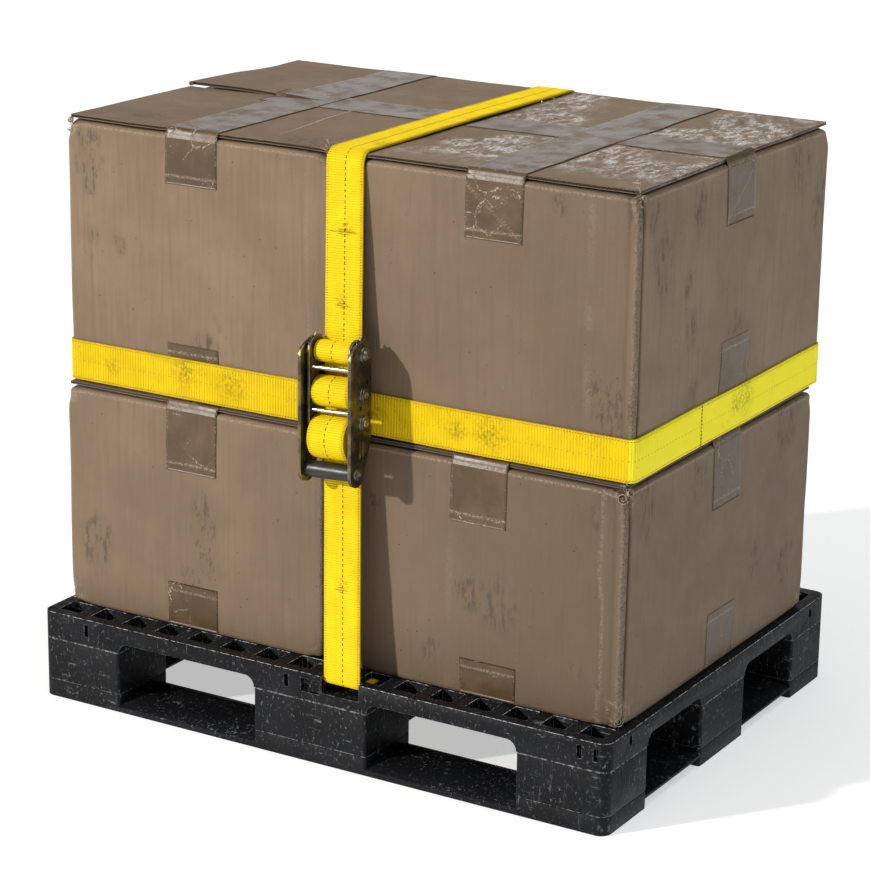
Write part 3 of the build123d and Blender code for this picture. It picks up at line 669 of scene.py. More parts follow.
def bevelled_copy(node, name, width, materials, body, segments=2, angle=32.0):
    """A copy of a CAD node with worn, rounded edges that stands for the node."""
    piece = bpy.data.objects.new(name, merged_copy(node, name))
    bpy.context.scene.collection.objects.link(piece)
    piece.data.materials.clear()
    for entry in materials:
        piece.data.materials.append(entry)
    bevel = piece.modifiers.new("edges", "BEVEL")
    bevel.width = width
    bevel.segments = segments
    bevel.limit_method = "ANGLE"
    bevel.angle_limit = math.radians(angle)
    bevel.use_clamp_overlap = True
    bevel.material = len(materials) - 1
    bevel.harden_normals = True
    piece.data.shade_smooth()
    settled(piece)
    piece.data.set_sharp_from_angle(angle=math.radians(30.0))
    riding(piece, body)
    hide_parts(node)
    return piece


# ---------------------------------------------------------------- paths and strips

def arc_corner(before, corner, after, radius, step):
    """Points that round a corner of a path."""
    a = (corner - before) / np.linalg.norm(corner - before)
    b = (after - corner) / np.linalg.norm(after - corner)
    angle = math.acos(float(np.clip(a @ b, -1.0, 1.0)))
    if angle < 1e-3 or radius <= 0:
        return [corner]
    reach = radius * math.tan(angle / 2)
    inward = b - a
    inward = inward / np.linalg.norm(inward)
    centre = corner + inward * (radius / math.cos(angle / 2))
    start = corner - a * reach
    out = (start - centre) / radius
    count = max(4, int(radius * angle / step) + 1)
    turns = np.linspace(0.0, angle, count)
    return [centre + radius * (out * math.cos(t) + a * math.sin(t)) for t in turns]


def routed(corners, radii, step, closed):
    """A path through corners with rounded bends, in steps no longer than stated."""
    corners = [np.asarray(c, float) for c in corners]
    count = len(corners)
    knots = []
    for i, corner in enumerate(corners):
        if not closed and i in (0, count - 1):
            knots.append(corner)
        else:
            knots.extend(arc_corner(corners[i - 1], corner, corners[(i + 1) % count], radii[i],
                min(step, 1.5)))
    if closed:
        knots.append(knots[0])
    path = [knots[0]]
    for a, b in zip(knots[:-1], knots[1:]):
        pieces = max(1, int(math.ceil(np.linalg.norm(b - a) / step)))
        path.extend(a + (b - a) * (k + 1) / pieces for k in range(pieces))
    return np.array(path[:-1] if closed else path)


def path_frame(path, side, closed):
    """Tangents, sides and outward normals along a path. Side is one vector or one for each point."""
    if closed:
        tangent = np.roll(path, -1, 0) - np.roll(path, 1, 0)
    else:
        tangent = np.gradient(path, axis=0)
    tangent = tangent / np.linalg.norm(tangent, axis=1, keepdims=True)
    side = np.broadcast_to(np.asarray(side, float), path.shape)
    side = side - tangent * (side * tangent).sum(1, keepdims=True)
    side = side / np.linalg.norm(side, axis=1, keepdims=True)
    return tangent, side, np.cross(tangent, side)


def lengths_along(path, closed):
    ends = np.roll(path, -1, 0) if closed else path[1:]
    starts = path if closed else path[:-1]
    return np.concatenate(([0.0], np.cumsum(np.linalg.norm(ends - starts, axis=1))))


def strip_shell(path, side, width, thickness, across, closed, swell=None):
    """Closed band of the given section along a path whose line is the band's inner face.

    Returns points, faces and UV pairs in millimetres. Swell gives an offset along the normal.
    """
    _, side, normal = path_frame(path, side, closed)
    places = np.linspace(-width / 2, width / 2, across + 1)
    ring = [(v, thickness) for v in places] + [(v, 0.0) for v in places[::-1]]
    count, size = len(path), len(ring)
    v = np.array([entry[0] for entry in ring])
    lift = np.array([entry[1] for entry in ring])
    points = path[:, None, :] + side[:, None, :] * v[None, :, None] + normal[:, None, :] * lift[None, :, None]
    along = lengths_along(path, closed)
    if swell is not None:
        points = points + normal[:, None, :] * swell(points.reshape(-1, 3)).reshape(count, size, 1)
    index = np.arange(count * size).reshape(count, size)
    following = np.roll(index, -1, 0) if closed else index[1:]
    current = index if closed else index[:-1]
    quads = np.stack((current, following, np.roll(following, -1, 1), np.roll(current, -1, 1)), 2)
    faces = quads.reshape(-1, 4)[:, ::-1].tolist()
    if not closed:
        faces.append(index[0].tolist())
        faces.append(index[-1][::-1].tolist())
    uv = np.stack((np.broadcast_to(along[:count, None], (count, size)), np.broadcast_to(v, (count, size))), 2)
    return points.reshape(-1, 3), faces, uv.reshape(-1, 2)


def repeat_tree():
    """Geometry nodes that set copies of a unit along a path, at a pitch."""
    tree = bpy.data.node_groups.new("repeat_along_path", "GeometryNodeTree")
    sockets = (
        ("Path", "NodeSocketGeometry", None), ("Unit", "NodeSocketObject", None),
        ("Pitch", "NodeSocketFloat", 0.004), ("Size", "NodeSocketFloat", 1.0),
        ("Size spread", "NodeSocketFloat", 0.0), ("Turn spread", "NodeSocketFloat", 0.0),
        ("Seed", "NodeSocketInt", 1), ("Material", "NodeSocketMaterial", None),
    )
    for name, kind, default in sockets:
        made = tree.interface.new_socket(name, in_out="INPUT", socket_type=kind)
        if default is not None:
            made.default_value = default
    tree.interface.new_socket("Geometry", in_out="OUTPUT", socket_type="NodeSocketGeometry")
    add, link = tree.nodes.new, tree.links.new
    given, out = add("NodeGroupInput"), add("NodeGroupOutput")
    curve, resample = add("GeometryNodeMeshToCurve"), add("GeometryNodeResampleCurve")
    resample.mode = "LENGTH"
    facing, heading = add("GeometryNodeInputNamedAttribute"), add("GeometryNodeInputNamedAttribute")
    for node, name in ((facing, "facing"), (heading, "heading")):
        node.data_type = "FLOAT_VECTOR"
        node.inputs["Name"].default_value = name
    turn = add("FunctionNodeAxesToRotation")
    turn.primary_axis, turn.secondary_axis = "Z", "X"
    unit = add("GeometryNodeObjectInfo")
    size, spin = add("FunctionNodeRandomValue"), add("FunctionNodeRandomValue")
    spin.data_type = "FLOAT_VECTOR"
    less, more = add("ShaderNodeMath"), add("ShaderNodeMath")
    less.operation, more.operation = "SUBTRACT", "ADD"
    negative = add("ShaderNodeMath")
    negative.operation = "MULTIPLY"
    negative.inputs[1].default_value = -1.0
    place, tilt = add("GeometryNodeInstanceOnPoints"), add("GeometryNodeRotateInstances")
    realize, paint = add("GeometryNodeRealizeInstances"), add("GeometryNodeSetMaterial")
    link(given.outputs["Path"], curve.inputs["Mesh"])
    link(curve.outputs["Curve"], resample.inputs["Curve"])
    link(given.outputs["Pitch"], resample.inputs["Length"])
    link(resample.outputs["Curve"], place.inputs["Points"])
    link(given.outputs["Unit"], unit.inputs["Object"])
    link(unit.outputs["Geometry"], place.inputs["Instance"])
    link(facing.outputs["Attribute"], turn.inputs["Primary Axis"])
    link(heading.outputs["Attribute"], turn.inputs["Secondary Axis"])
    link(turn.outputs["Rotation"], place.inputs["Rotation"])
    for node in (less, more):
        link(given.outputs["Size"], node.inputs[0])
        link(given.outputs["Size spread"], node.inputs[1])
    link(less.outputs[0], size.inputs[2])
    link(more.outputs[0], size.inputs[3])
    link(given.outputs["Seed"], size.inputs["Seed"])
    link(size.outputs[1], place.inputs["Scale"])
    link(given.outputs["Turn spread"], negative.inputs[0])
    link(negative.outputs[0], spin.inputs[0])
    link(given.outputs["Turn spread"], spin.inputs[1])
    link(given.outputs["Seed"], spin.inputs["Seed"])
    link(place.outputs["Instances"], tilt.inputs["Instances"])
    link(spin.outputs[0], tilt.inputs["Rotation"])
    link(tilt.outputs["Instances"], realize.inputs["Geometry"])
    link(realize.outputs["Geometry"], paint.inputs["Geometry"])
    link(given.outputs["Material"], paint.inputs["Material"])
    link(paint.outputs["Geometry"], out.inputs["Geometry"])
    return tree


def repeated(name, path, facing, heading, unit, pitch, material, closed=False, size=1.0, size_spread=0.0,
             turn_spread=0.0, seed=1, body=LOAD):
    """Copies of a unit mesh along a path in millimetres. Returns the finished piece."""
    tree = bpy.data.node_groups.get("repeat_along_path") or repeat_tree()
    mesh = bpy.data.meshes.new(name)
    count = len(path)
    edges = [(i, i + 1) for i in range(count - 1)] + ([(count - 1, 0)] if closed else [])
    mesh.from_pydata((np.asarray(path) * MM).tolist(), edges, [])
    for key, values in (("facing", facing), ("heading", heading)):
        layer = mesh.attributes.new(key, "FLOAT_VECTOR", "POINT")
        layer.data.foreach_set("vector", np.broadcast_to(values, (count, 3)).astype(np.float32).ravel())
    piece = bpy.data.objects.new(name, mesh)
    bpy.context.scene.collection.objects.link(piece)
    modifier = piece.modifiers.new("repeat", "NODES")
    modifier.node_group = tree
    values = {"Unit": unit, "Pitch": pitch * MM, "Size": size, "Size spread": size_spread,
              "Turn spread": turn_spread, "Seed": seed, "Material": material}
    for item in tree.interface.items_tree:
        if item.item_type == "SOCKET" and item.in_out == "INPUT" and item.name in values:
            modifier[item.identifier] = values[item.name]
    settled(piece)
    for extra in [a.name for a in piece.data.attributes if a.name in ("facing", "heading")]:
        piece.data.attributes.remove(piece.data.attributes[extra])
    if not piece.data.polygons:
        raise RuntimeError(f"{name} came out empty")
    return riding(piece, body)


class Unit:
    """A small mesh that exists only while it is being repeated."""

    def __init__(self, name, points, faces, smooth=True):
        mesh = bpy.data.meshes.new(name)
        mesh.from_pydata((np.asarray(points) * MM).tolist(), [], [list(face) for face in faces])
        if smooth:
            mesh.shade_smooth()
        self.object = bpy.data.objects.new(name, mesh)
        bpy.context.scene.collection.objects.link(self.object)

    def __enter__(self):
        return self.object

    def __exit__(self, *problem):
        bpy.data.objects.remove(self.object)


def bar_points(length, width, height, stations=9, wave=0.25, sink=0.3):
    """Rounded rib across the webbing: Y along its length, X across it, Z up from the face."""
    section = ((-0.5, -sink), (-0.42, 0.45), (0.0, 1.0), (0.42, 0.45), (0.5, -sink))
    points = []
    for k, y in enumerate(np.linspace(-length / 2, length / 2, stations)):
        end = 0.55 if k in (0, stations - 1) else 1.0
        rise = height * end * (1.0 - wave * (k % 2))
        points.extend((sx * width * end, y, sz * (rise if sz > 0 else height)) for sx, sz in section)
    faces = []
    size = len(section)
    for k in range(stations - 1):
        for j in range(size):
            a, b = k * size + j, k * size + (j + 1) % size
            faces.append((a, a + size, b + size, b))
    faces.append(tuple(range(size)))
    faces.append(tuple(reversed(range((stations - 1) * size, stations * size))))
    return points, faces


def thread_points(length, width, height):
    """Short stitch lying along X."""
    points = []
    for x, share in ((-0.5, 0.35), (-0.36, 0.9), (0.36, 0.9), (0.5, 0.35)):
        for k in range(6):
            angle = 2 * math.pi * k / 6
            points.append((x * length, math.cos(angle) * width / 2 * share, math.sin(angle) * height * share))
    faces = []
    for ring in range(3):
        for k in range(6):
            a, b = ring * 6 + k, ring * 6 + (k + 1) % 6
            faces.append((a, a + 6, b + 6, b))
    faces.append(tuple(range(6)))
    faces.append(tuple(reversed(range(18, 24))))
    return points, faces


def with_outward_faces(points, faces):
    """Flip a closed shape's faces if they point inwards."""
    points = np.asarray(points, float)
    volume = 0.0
    for face in faces:
        for k in range(1, len(face) - 1):
            volume += np.dot(points[face[0]], np.cross(points[face[k]], points[face[k + 1]]))
    return points, (faces if volume > 0 else [tuple(reversed(face)) for face in faces])


# ---------------------------------------------------------------- cartons

def node_box(node):
    """Lowest and highest corner of a CAD node, in millimetres."""
    low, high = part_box(node)
    return np.array(low) / MM, np.array(high) / MM


BAND_LOW, BAND_HIGH = node_box("horizontal_strap")
BAND_LEVEL = (BAND_LOW[2] + BAND_HIGH[2]) / 2

# Strips of tape: place along X of the strip from front to back, then its front tab and side tab.
TAPE_STRIPS = {
    "lower_left": ((0.0, 88.0, 88.0), (0.0, 58.0, 71.0)),
    "lower_right": ((-12.0, 79.0, 88.0), (4.0, 46.0, 71.0)),
    "upper_left": ((-5.0, 66.0, 78.0), (-5.0, 70.0, 90.0)),
    "upper_right": ((-4.0, 78.0, 78.0), (-4.0, 50.0, 116.0)),
}
OPEN_SEAM = {"upper_left": 134.0}

# Crushed places: corner signs in X, Y and Z, reach, push along X, Y and Z, crumple depth.
CRUSHED = {
    "lower_right": (
        ((1, -1, -1), 54.0, (-0.5, 0.5, 1.5), 4.0),
        ((1, -1, 1), 40.0, (-3.0, 2.0, -3.0), 3.6),
        ((1, 1, -1), 36.0, (-0.5, -1.0, 1.5), 2.4),
        ((1, 1, 1), 26.0, (-2.0, -2.0, -2.0), 2.0),
        ((-1, 1, -1), 44.0, (4.0, -4.0, 3.0), 3.0),
    ),
    "lower_left": (
        ((-1, -1, -1), 40.0, (1.0, 1.0, 2.0), 3.0),
        ((-1, -1, 1), 28.0, (2.5, 2.0, -2.0), 2.0),
        ((1, -1, -1), 26.0, (-2.0, 2.0, 2.0), 1.6),
        ((-1, 1, 1), 36.0, (3.0, -3.0, -3.0), 2.6),
    ),
    "upper_left": (
        ((-1, -1, 1), 24.0, (3.0, 3.5, -3.0), 2.4),
        ((1, -1, 1), 22.0, (-3.5, 3.0, -3.5), 2.4),
        ((-1, 1, -1), 40.0, (4.0, -3.0, 3.0), 3.0),
        ((-1, 1, 1), 26.0, (3.0, -3.0, -2.0), 2.0),
    ),
    "upper_right": (
        ((1, -1, 1), 26.0, (-4.0, 3.5, -3.0), 2.6),
        ((1, -1, -1), 74.0, (-2.0, 3.0, 2.0), 3.2),
        ((1, 1, 1), 24.0, (-2.0, -3.0, -2.5), 2.2),
        ((-1, -1, 1), 14.0, (1.0, 1.0, -1.0), 1.0),
    ),
}

# Upright creases of the walls: wall axis, wall side, place along the wall, half width, depth, paleness.
CREASES = {
    "upper_left": ((1, -1, 158.0, 3.2, 0.9, 0.5), (1, -1, -150.0, 2.6, 0.4, 0.2),
        (0, -1, 90.0, 3.0, 0.8, 0.4)),
    "upper_right": ((1, -1, 118.0, 3.0, 0.6, 0.35), (0, 1, -140.0, 3.0, 0.5, 0.3),
        (1, 1, -90.0, 3.0, 0.7, 0.4)),
    "lower_left": ((1, -1, 140.0, 3.4, 0.7, 0.35), (0, -1, -110.0, 3.2, 0.8, 0.4),
        (1, 1, 60.0, 3.0, 0.7, 0.4)),
    "lower_right": ((1, -1, -50.0, 3.0, 0.6, 0.4), (1, -1, 148.0, 3.4, 1.1, 0.5),
        (0, 1, 20.0, 3.2, 0.5, 0.3)),
}

# Grime on the walls and tops: X, Y, Z and radius in the row frame, and how upright it is drawn out.
GRIME = (
    (-352, -250, 690, 30, 0.5), (-350, -250, 655, 18, 0.6), (-307, -250, 582, 14, 0.7),
    (-183, -250, 470, 26, 0.7), (-345, -250, 590, 12, 0.6), (-182, -250, 250, 26, 0.30),
    (-176, -250, 205, 18, 0.35), (-201, -250, 172, 24, 0.7), (-346, -250, 200, 34, 0.6),
    (229, -250, 232, 36, 0.8), (329, -250, 171, 16, 0.9), (361, -250, 154, 16, 0.9),
    (143, -250, 158, 20, 0.7), (190, -250, 240, 26, 0.7), (372, -250, 475, 34, 0.5),
    (349, -250, 494, 24, 0.6), (357, -250, 360, 20, 0.8), (60, -250, 330, 20, 0.8),
    (293, -250, 706, 14, 0.7), (388, -250, 700, 16, 0.5), (392, -131, 606, 13, 0.45),
    (392, -202, 659, 22, 0.4), (392, -118, 551, 18, 0.4), (392, 4, 500, 44, 0.6),
    (392, -208, 372, 30, 0.35), (392, -110, 470, 20, 0.5), (392, 171, 390, 46, 0.5),
    (392, -106, 692, 22, 0.4), (392, 170, 710, 42, 0.5), (392, -217, 701, 18, 0.35),
    (392, -75, 363, 26, 0.5), (392, 182, 189, 34, 0.6), (392, 91, 216, 26, 0.6),
    (392, -190, 640, 24, 0.30), (392, 20, 480, 30, 0.4), (392, 226, 640, 26, 0.3),
    (-60, -215, 733, 40, 1.0), (-30, -232, 733, 26, 1.0), (-300, -200, 733, 24, 1.0),
    (-200, 120, 733, 34, 1.0), (300, 180, 733, 30, 1.0), (60, -120, 733, 22, 1.0),
    (-384, 60, 560, 46, 0.4), (-384, -160, 300, 40, 0.5), (-384, 150, 640, 30, 0.4),
    (-250, 250, 560, 50, 0.5), (150, 250, 300, 60, 0.5), (280, 250, 620, 36, 0.5),
    (-120, 250, 240, 44, 0.6), (-384, 190, 210, 36, 0.4),
)


class Carton:
    """One carton of the stack, its folds, dents and the lie of its walls."""

    def __init__(self, name):
        settings = scene_settings().cartons
        self.name = name
        self.low, self.high = node_box("carton_" + name)
        self.middle = (self.low + self.high) / 2
        self.half = (self.high - self.low) / 2
        self.seed = 3 + 11 * CARTON_NAMES.index(name)
        self.upper = name.startswith("upper")
        self.right = name.endswith("right")
        self.board = settings.board / MM
        self.inset = settings.flap_inset / MM
        self.bulge = settings.bulge / MM
        self.radius = settings.fold_radius / MM
        self.wall_top = self.high[2] - self.board - 2.8

    def sway(self, points):
        """Offset of each point from the true box: soft bulges and waves."""
        share = (points - self.middle) / self.half
        offset = np.zeros_like(points)
        tall = 1.0 - np.clip(np.abs(share[:, 2]), 0, 1) ** 2
        guard = near(points[:, 2], BAND_LEVEL, 62.0) if self.upper else np.zeros(len(points))
        for axis in (0, 1):
            other = 1.0 - np.clip(np.abs(share[:, 1 - axis]), 0, 1) ** 2
            sign = np.sign(share[:, axis])
            wall = np.clip(np.abs(share[:, axis]), 0, 1) ** 7
            wave = lumps(points, 88.0, self.seed + axis) * 0.8
            wave = wave + lumps(points, 36.0, self.seed + axis + 4) * 0.38
            out = wall * (self.bulge * other * tall * 1.4 + wave)
            out = out * (1 - guard) - wall * guard * 0.5
            offset[:, axis] = out * sign
        top = slope(share[:, 2], 0.1, 1.0) ** 3
        wave = lumps(points, 92.0, self.seed + 7) * 0.9 + lumps(points, 41.0, self.seed + 9) * 0.35
        offset[:, 2] = top * (wave if self.upper else wave * 0.35 - 0.5)
        return offset

    def crush(self, points):
        """Crumpled corners. Returns the moved points and how pale the folds are."""
        pale = np.zeros(len(points))
        moved = points.copy()
        for number, (signs, reach, push, depth) in enumerate(CRUSHED[self.name]):
            corner = self.middle + self.half * np.array(signs)
            corner[2] = min(corner[2], self.wall_top)
            distance = np.linalg.norm((points - corner) * (1.0, 1.0, 0.85), axis=1)
            share = near(distance, 0.0, reach)
            seed = self.seed + 20 + number * 5
            for axis in range(3):
                rough = lumps(points, 15.0, seed + axis) + lumps(points, 6.5, seed + axis + 9) * 0.55
                inward = -signs[axis]
                moved[:, axis] += share * (push[axis] + depth * (0.55 * rough + 0.15 * inward))
            ridge = np.abs(lumps(points, 11.0, seed + 3))
            pale = np.maximum(pale, slope(share, 0.1, 0.7) * slope(ridge, 0.30, 0.02) * 1.1)
        return moved, pale

    def grime(self, points):
        total = np.zeros(len(points))
        for x, y, z, radius, tall in GRIME:
            distance = np.linalg.norm((points - (x, y, z)) * (1.0, 1.0, tall ** 0.7), axis=1)
            total = np.maximum(total, near(distance, 0.0, radius * 1.15))
        return total


def carton_wall(carton, material):
    """The carton's closed shell with its creases, grooves and crushed corners."""
    low, high = carton.low, carton.high.copy()
    high[2] = carton.wall_top
    fine_y = 0.9 if carton.right else 1.2
    lines = (graded(low[0], high[0]), graded(low[1], high[1], fine=fine_y), graded(low[2], high[2]))
    flat, quads = box_shell(lines)
    points = rounded(flat, low, high, carton.radius)
    share = (flat - (low + high) / 2) / ((high - low) / 2)
    top = high[2]
    fold = near(flat[:, 2], top - carton.radius * 0.75, 2.6) * (np.abs(share[:, :2]).max(1) > 0.999)
    corner_x = near(np.abs(share[:, 0]) * carton.half[0], carton.half[0], 7.0)
    corner_y = near(np.abs(share[:, 1]) * carton.half[1], carton.half[1], 7.0)
    fold = np.maximum(fold * 0.95, corner_x * corner_y * 0.55)
    foot = near(flat[:, 2], low[2], 4.0) * (np.abs(share[:, :2]).max(1) > 0.99)
    fold = np.maximum(fold, foot * 0.5)
    points = points + carton.sway(points)
    for axis, side, place, width, depth, pale in CREASES[carton.name]:
        on_wall = share[:, axis] * side > 0.999
        across = flat[:, 1 - axis] - (carton.middle[1 - axis] + place)
        wander = lumps(flat * (0.2, 0.2, 1.0), 60.0, carton.seed + 31) * 3.0
        line = near(across + wander, 0.0, width) * on_wall
        line = line * slope(lumps(flat, 70.0, carton.seed + 33), -0.7, 0.2)
        points[:, axis] -= side * line * depth
        fold = np.maximum(fold, line * pale)
    # The core share is painted near-black by the board's finish, as painted shade: in the grooves near the
    # front corners of the side walls and in the deepest crushed dents.
    core = np.zeros(len(points))
    if carton.right:
        on_right = share[:, 0] > 0.999
        slot = near(flat[:, 1], low[1] + 8.4, 3.2) * on_right
        points[:, 0] -= slot * 10.0
        core = np.maximum(core, slope(slot, 0.15, 0.55))
        on_front = share[:, 1] < -0.999
        seam = near(flat[:, 0], high[0] - 12.0, 3.2) * on_front
        points[:, 1] += seam * 1.5
        ridge = near(flat[:, 0], high[0] - 3.0, 6.0) * on_front
        points[:, 1] -= ridge * 1.2
        fold = np.maximum(fold, ridge * 0.35)
    else:
        on_left = share[:, 0] < -0.999
        slot = near(flat[:, 1], low[1] + 6.0, 1.9) * on_left
        points[:, 0] += slot * 5.0
        core = np.maximum(core, slope(slot, 0.30, 0.75))
    moved, pale = carton.crush(points)
    fold = np.maximum(fold, pale)
    deep = np.linalg.norm(moved - points, axis=1)
    # Painted shade: the deepest crushed dents are darkened.
    core = np.maximum(core, slope(deep, 9.0, 13.0) * 0.8)
    piece = new_piece(
        "carton_walls_" + carton.name, moved, quads, material,
        attributes={"fold": fold, "core": core, "wet": wet_share(carton, moved) * 0.5,
            "smear": carton.grime(points)})
    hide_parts("carton_" + carton.name)
    return piece


def wet_share(carton, points):
    """Where rain has wetted the board: the top of the upper right carton."""
    if carton.name != "upper_right":
        return np.zeros(len(points))
    high_up = slope(points[:, 2], carton.high[2] - 26.0, carton.high[2] - 8.0)
    patch = slope(lumps(points, 95.0, 5) * 0.6 + lumps(points, 40.0, 6) * 0.3 + 0.45, 0.12, 0.5)
    along = slope(points[:, 1], -236.0, -150.0)
    return high_up * patch * (0.35 + 0.65 * along)


def flap_lift(carton, points):
    """How far a flap stands up where the tape has let go."""
    if carton.name != "upper_left":
        return np.zeros(len(points))
    behind = (points[:, 1] > 0) * near(points[:, 1], 0.0, 210.0)
    return behind * slope(-points[:, 0], 150.0, 330.0) * 6.0


def make_flap(carton, side, material, flute_material, unit):
    """One top flap with its two liners and the flutes of its cut edges."""
    low, high = carton.low + carton.inset, carton.high - carton.inset
    seam = 0.9
    y_from, y_to = (low[1], -seam) if side < 0 else (seam, high[1])
    liner = 0.75
    top, bottom = carton.high[2], carton.high[2] - carton.board
    levels = np.array((bottom, bottom + liner, bottom + liner + 0.25, top - liner - 0.25, top - liner, top))
    lines = (graded(low[0], high[0], 8.0, 1.6), graded(y_from, y_to, 8.0, 1.6), levels)
    flat, quads = box_shell(lines)
    points = flat.copy()
    inside = (flat[:, 2] > bottom + liner + 0.1) & (flat[:, 2] < top - liner - 0.1)
    ragged = lumps(flat, 9.0, carton.seed + 51) * 0.55 + lumps(flat, 60.0, carton.seed + 52) * 0.9
    for axis, first, last in ((0, low[0], high[0]), (1, y_from, y_to)):
        for end, sign in ((first, -1), (last, 1)):
            at_end = np.abs(flat[:, axis] - end) < 1e-6
            is_seam = axis == 1 and end * side < 5.0
            points[:, axis] += at_end * (0.0 if is_seam else ragged)
            points[:, axis] -= at_end * inside * sign * 2.4
    edge_x = np.minimum(flat[:, 0] - low[0], high[0] - flat[:, 0])
    outer_y = flat[:, 1] - low[1] if side < 0 else high[1] - flat[:, 1]
    edge = np.minimum(edge_x, outer_y)
    on_top = flat[:, 2] > top - 0.1
    points[:, 2] += carton.sway(flat)[:, 2] + flap_lift(carton, flat)
    points[:, 2] -= near(edge, 0.0, 5.0) * on_top * 0.35
    fold = near(edge, 0.0, 2.2) * on_top * 0.55
    place = "front" if side < 0 else "back"
    # The middle layer of the cut edges is marked as core, which the board's finish paints near-black as
    # painted shade behind the flutes.
    piece = new_piece(
        f"flap_{place}_{carton.name}", points, quads, material,
        attributes={"fold": fold, "core": inside * 1.0, "wet": wet_share(carton, points),
                    "smear": carton.grime(points)})
    piece.data.set_sharp_from_angle(angle=math.radians(35.0))
    level = (top + bottom) / 2
    y_edge = low[1] if side < 0 else high[1]
    y_seam = -seam if side < 0 else seam
    reach = 1.5
    corners = [(low[0] + reach, y_seam, level), (low[0] + reach, y_edge - side * reach, level),
               (high[0] - reach, y_edge - side * reach, level), (high[0] - reach, y_seam, level)]
    path = routed(corners, (0, 0, 0, 0), 6.0, closed=False)
    tangent = path_frame(path, UP, False)[0]
    path = path + carton.sway(path) * (0, 0, 1) + np.outer(flap_lift(carton, path), UP)
    repeated(f"flutes_{place}_{carton.name}", path, UP, tangent, unit, flute_pitch(), flute_material,
             turn_spread=0.05, seed=carton.seed)


def flute_pitch():
    return scene_settings().cartons.flute_pitch / MM


def flute_unit(board):
    """One wave of the fluting: X along the edge, Y into the board."""
    pitch, deep, thick = flute_pitch(), 2.6, 0.34
    rise = board / 2 - 0.9
    points, count = [], 9
    for k in range(count):
        x = (k / (count - 1) - 0.5) * pitch * 1.02
        z = math.sin(2 * math.pi * k / (count - 1)) * rise
        points.extend(((x, -deep / 2, z - thick), (x, deep / 2, z - thick),
                       (x, deep / 2, z + thick), (x, -deep / 2, z + thick)))
    faces = []
    for k in range(count - 1):
        for j in range(4):
            a, b = 4 * k + j, 4 * k + (j + 1) % 4
            faces.append((a, b, b + 4, a + 4))
    faces.append((3, 2, 1, 0))
    faces.append(tuple(range(4 * count - 4, 4 * count)))
    return with_outward_faces(points, faces)


def shred_unit():
    """Curled sliver of torn liner, standing on its foot."""
    points, count = [], 7
    for k in range(count):
        share = k / (count - 1)
        bend = share * 1.5
        wide = 0.55 * (1.0 - share) + 0.12
        x, z = 4.2 * math.sin(bend) * share, 6.5 * share * (1.0 - 0.25 * share)
        points.extend(((x, -wide, z), (x, wide, z), (x + 0.22, wide, z + 0.05), (x + 0.22, -wide, z + 0.05)))
    faces = []
    for k in range(count - 1):
        for j in range(4):
            a, b = 4 * k + j, 4 * k + (j + 1) % 4
            faces.append((a, b, b + 4, a + 4))
    faces.append((3, 2, 1, 0))
    faces.append(tuple(range(4 * count - 4, 4 * count)))
    return with_outward_faces(points, faces)


# Torn corners: carton, corner signs in X and Y, level below the top, spread up and down, number.
TORN = (
    ("upper_right", 1, -1, 1.0, 16.0, 30),
    ("upper_right", 1, -1, 262.0, 24.0, 30),
    ("lower_right", 1, -1, 6.0, 18.0, 26),
    ("lower_right", 1, -1, 270.0, 18.0, 24),
    ("upper_left", -1, -1, 14.0, 8.0, 10),
    ("upper_left", 1, -1, 8.0, 18.0, 16),
    ("lower_left", -1, -1, 272.0, 14.0, 12),
    ("lower_left", -1, 1, 6.0, 14.0, 12),
    ("lower_right", 1, 1, 272.0, 14.0, 14),
)


def tear_path(carton, sign_x, sign_y, below, spread, number):
    """Points up and down a corner where torn fibres stand out, with the way they face."""
    share = np.linspace(-1.0, 1.0, number)
    corner = carton.middle + carton.half * (sign_x, sign_y, 1)
    seed = carton.seed + int(below)
    base = np.stack((share, share * 0.3, share * 0.7), 1) * 40.0
    wander = [lumps(base, 6.0, seed + axis) for axis in range(3)]
    path = np.stack((
        corner[0] - sign_x * (4.4 + 1.6 * wander[0]), corner[1] - sign_y * (4.4 + 1.6 * wander[1]),
        corner[2] - below + share * spread + wander[2] * 3.0), 1)
    facing = np.stack((sign_x * (0.7 + wander[1]), sign_y * (0.7 + wander[0]), 0.35 + wander[2]), 1)
    return path, facing / np.linalg.norm(facing, axis=1, keepdims=True)


def make_curl(name, centre, radius, turns, length, axis, body_material, start=0.0):
    """Rolled-up liner at a torn corner: a spiral strip."""
    angles = np.linspace(0.0, 2 * math.pi * turns, int(18 * turns))
    r = radius * (0.35 + 0.65 * angles / angles[-1])
    axis = np.asarray(axis, float) / np.linalg.norm(axis)
    first = np.cross(axis, UP if abs(axis[2]) < 0.9 else (1.0, 0.0, 0.0))
    first = first / np.linalg.norm(first)
    second = np.cross(axis, first)
    path = np.asarray(centre) + np.outer(r * np.cos(angles + start), first)
    path = path + np.outer(r * np.sin(angles + start), second)
    points, faces, _ = strip_shell(path, axis, length, 0.4, 3, closed=False)
    points += np.stack([lumps(points, 3.5, 61 + k) for k in range(3)], 1) * 0.35
    return new_piece(name, points, faces, body_material,
                     attributes={"fold": np.full(len(points), 0.8)})


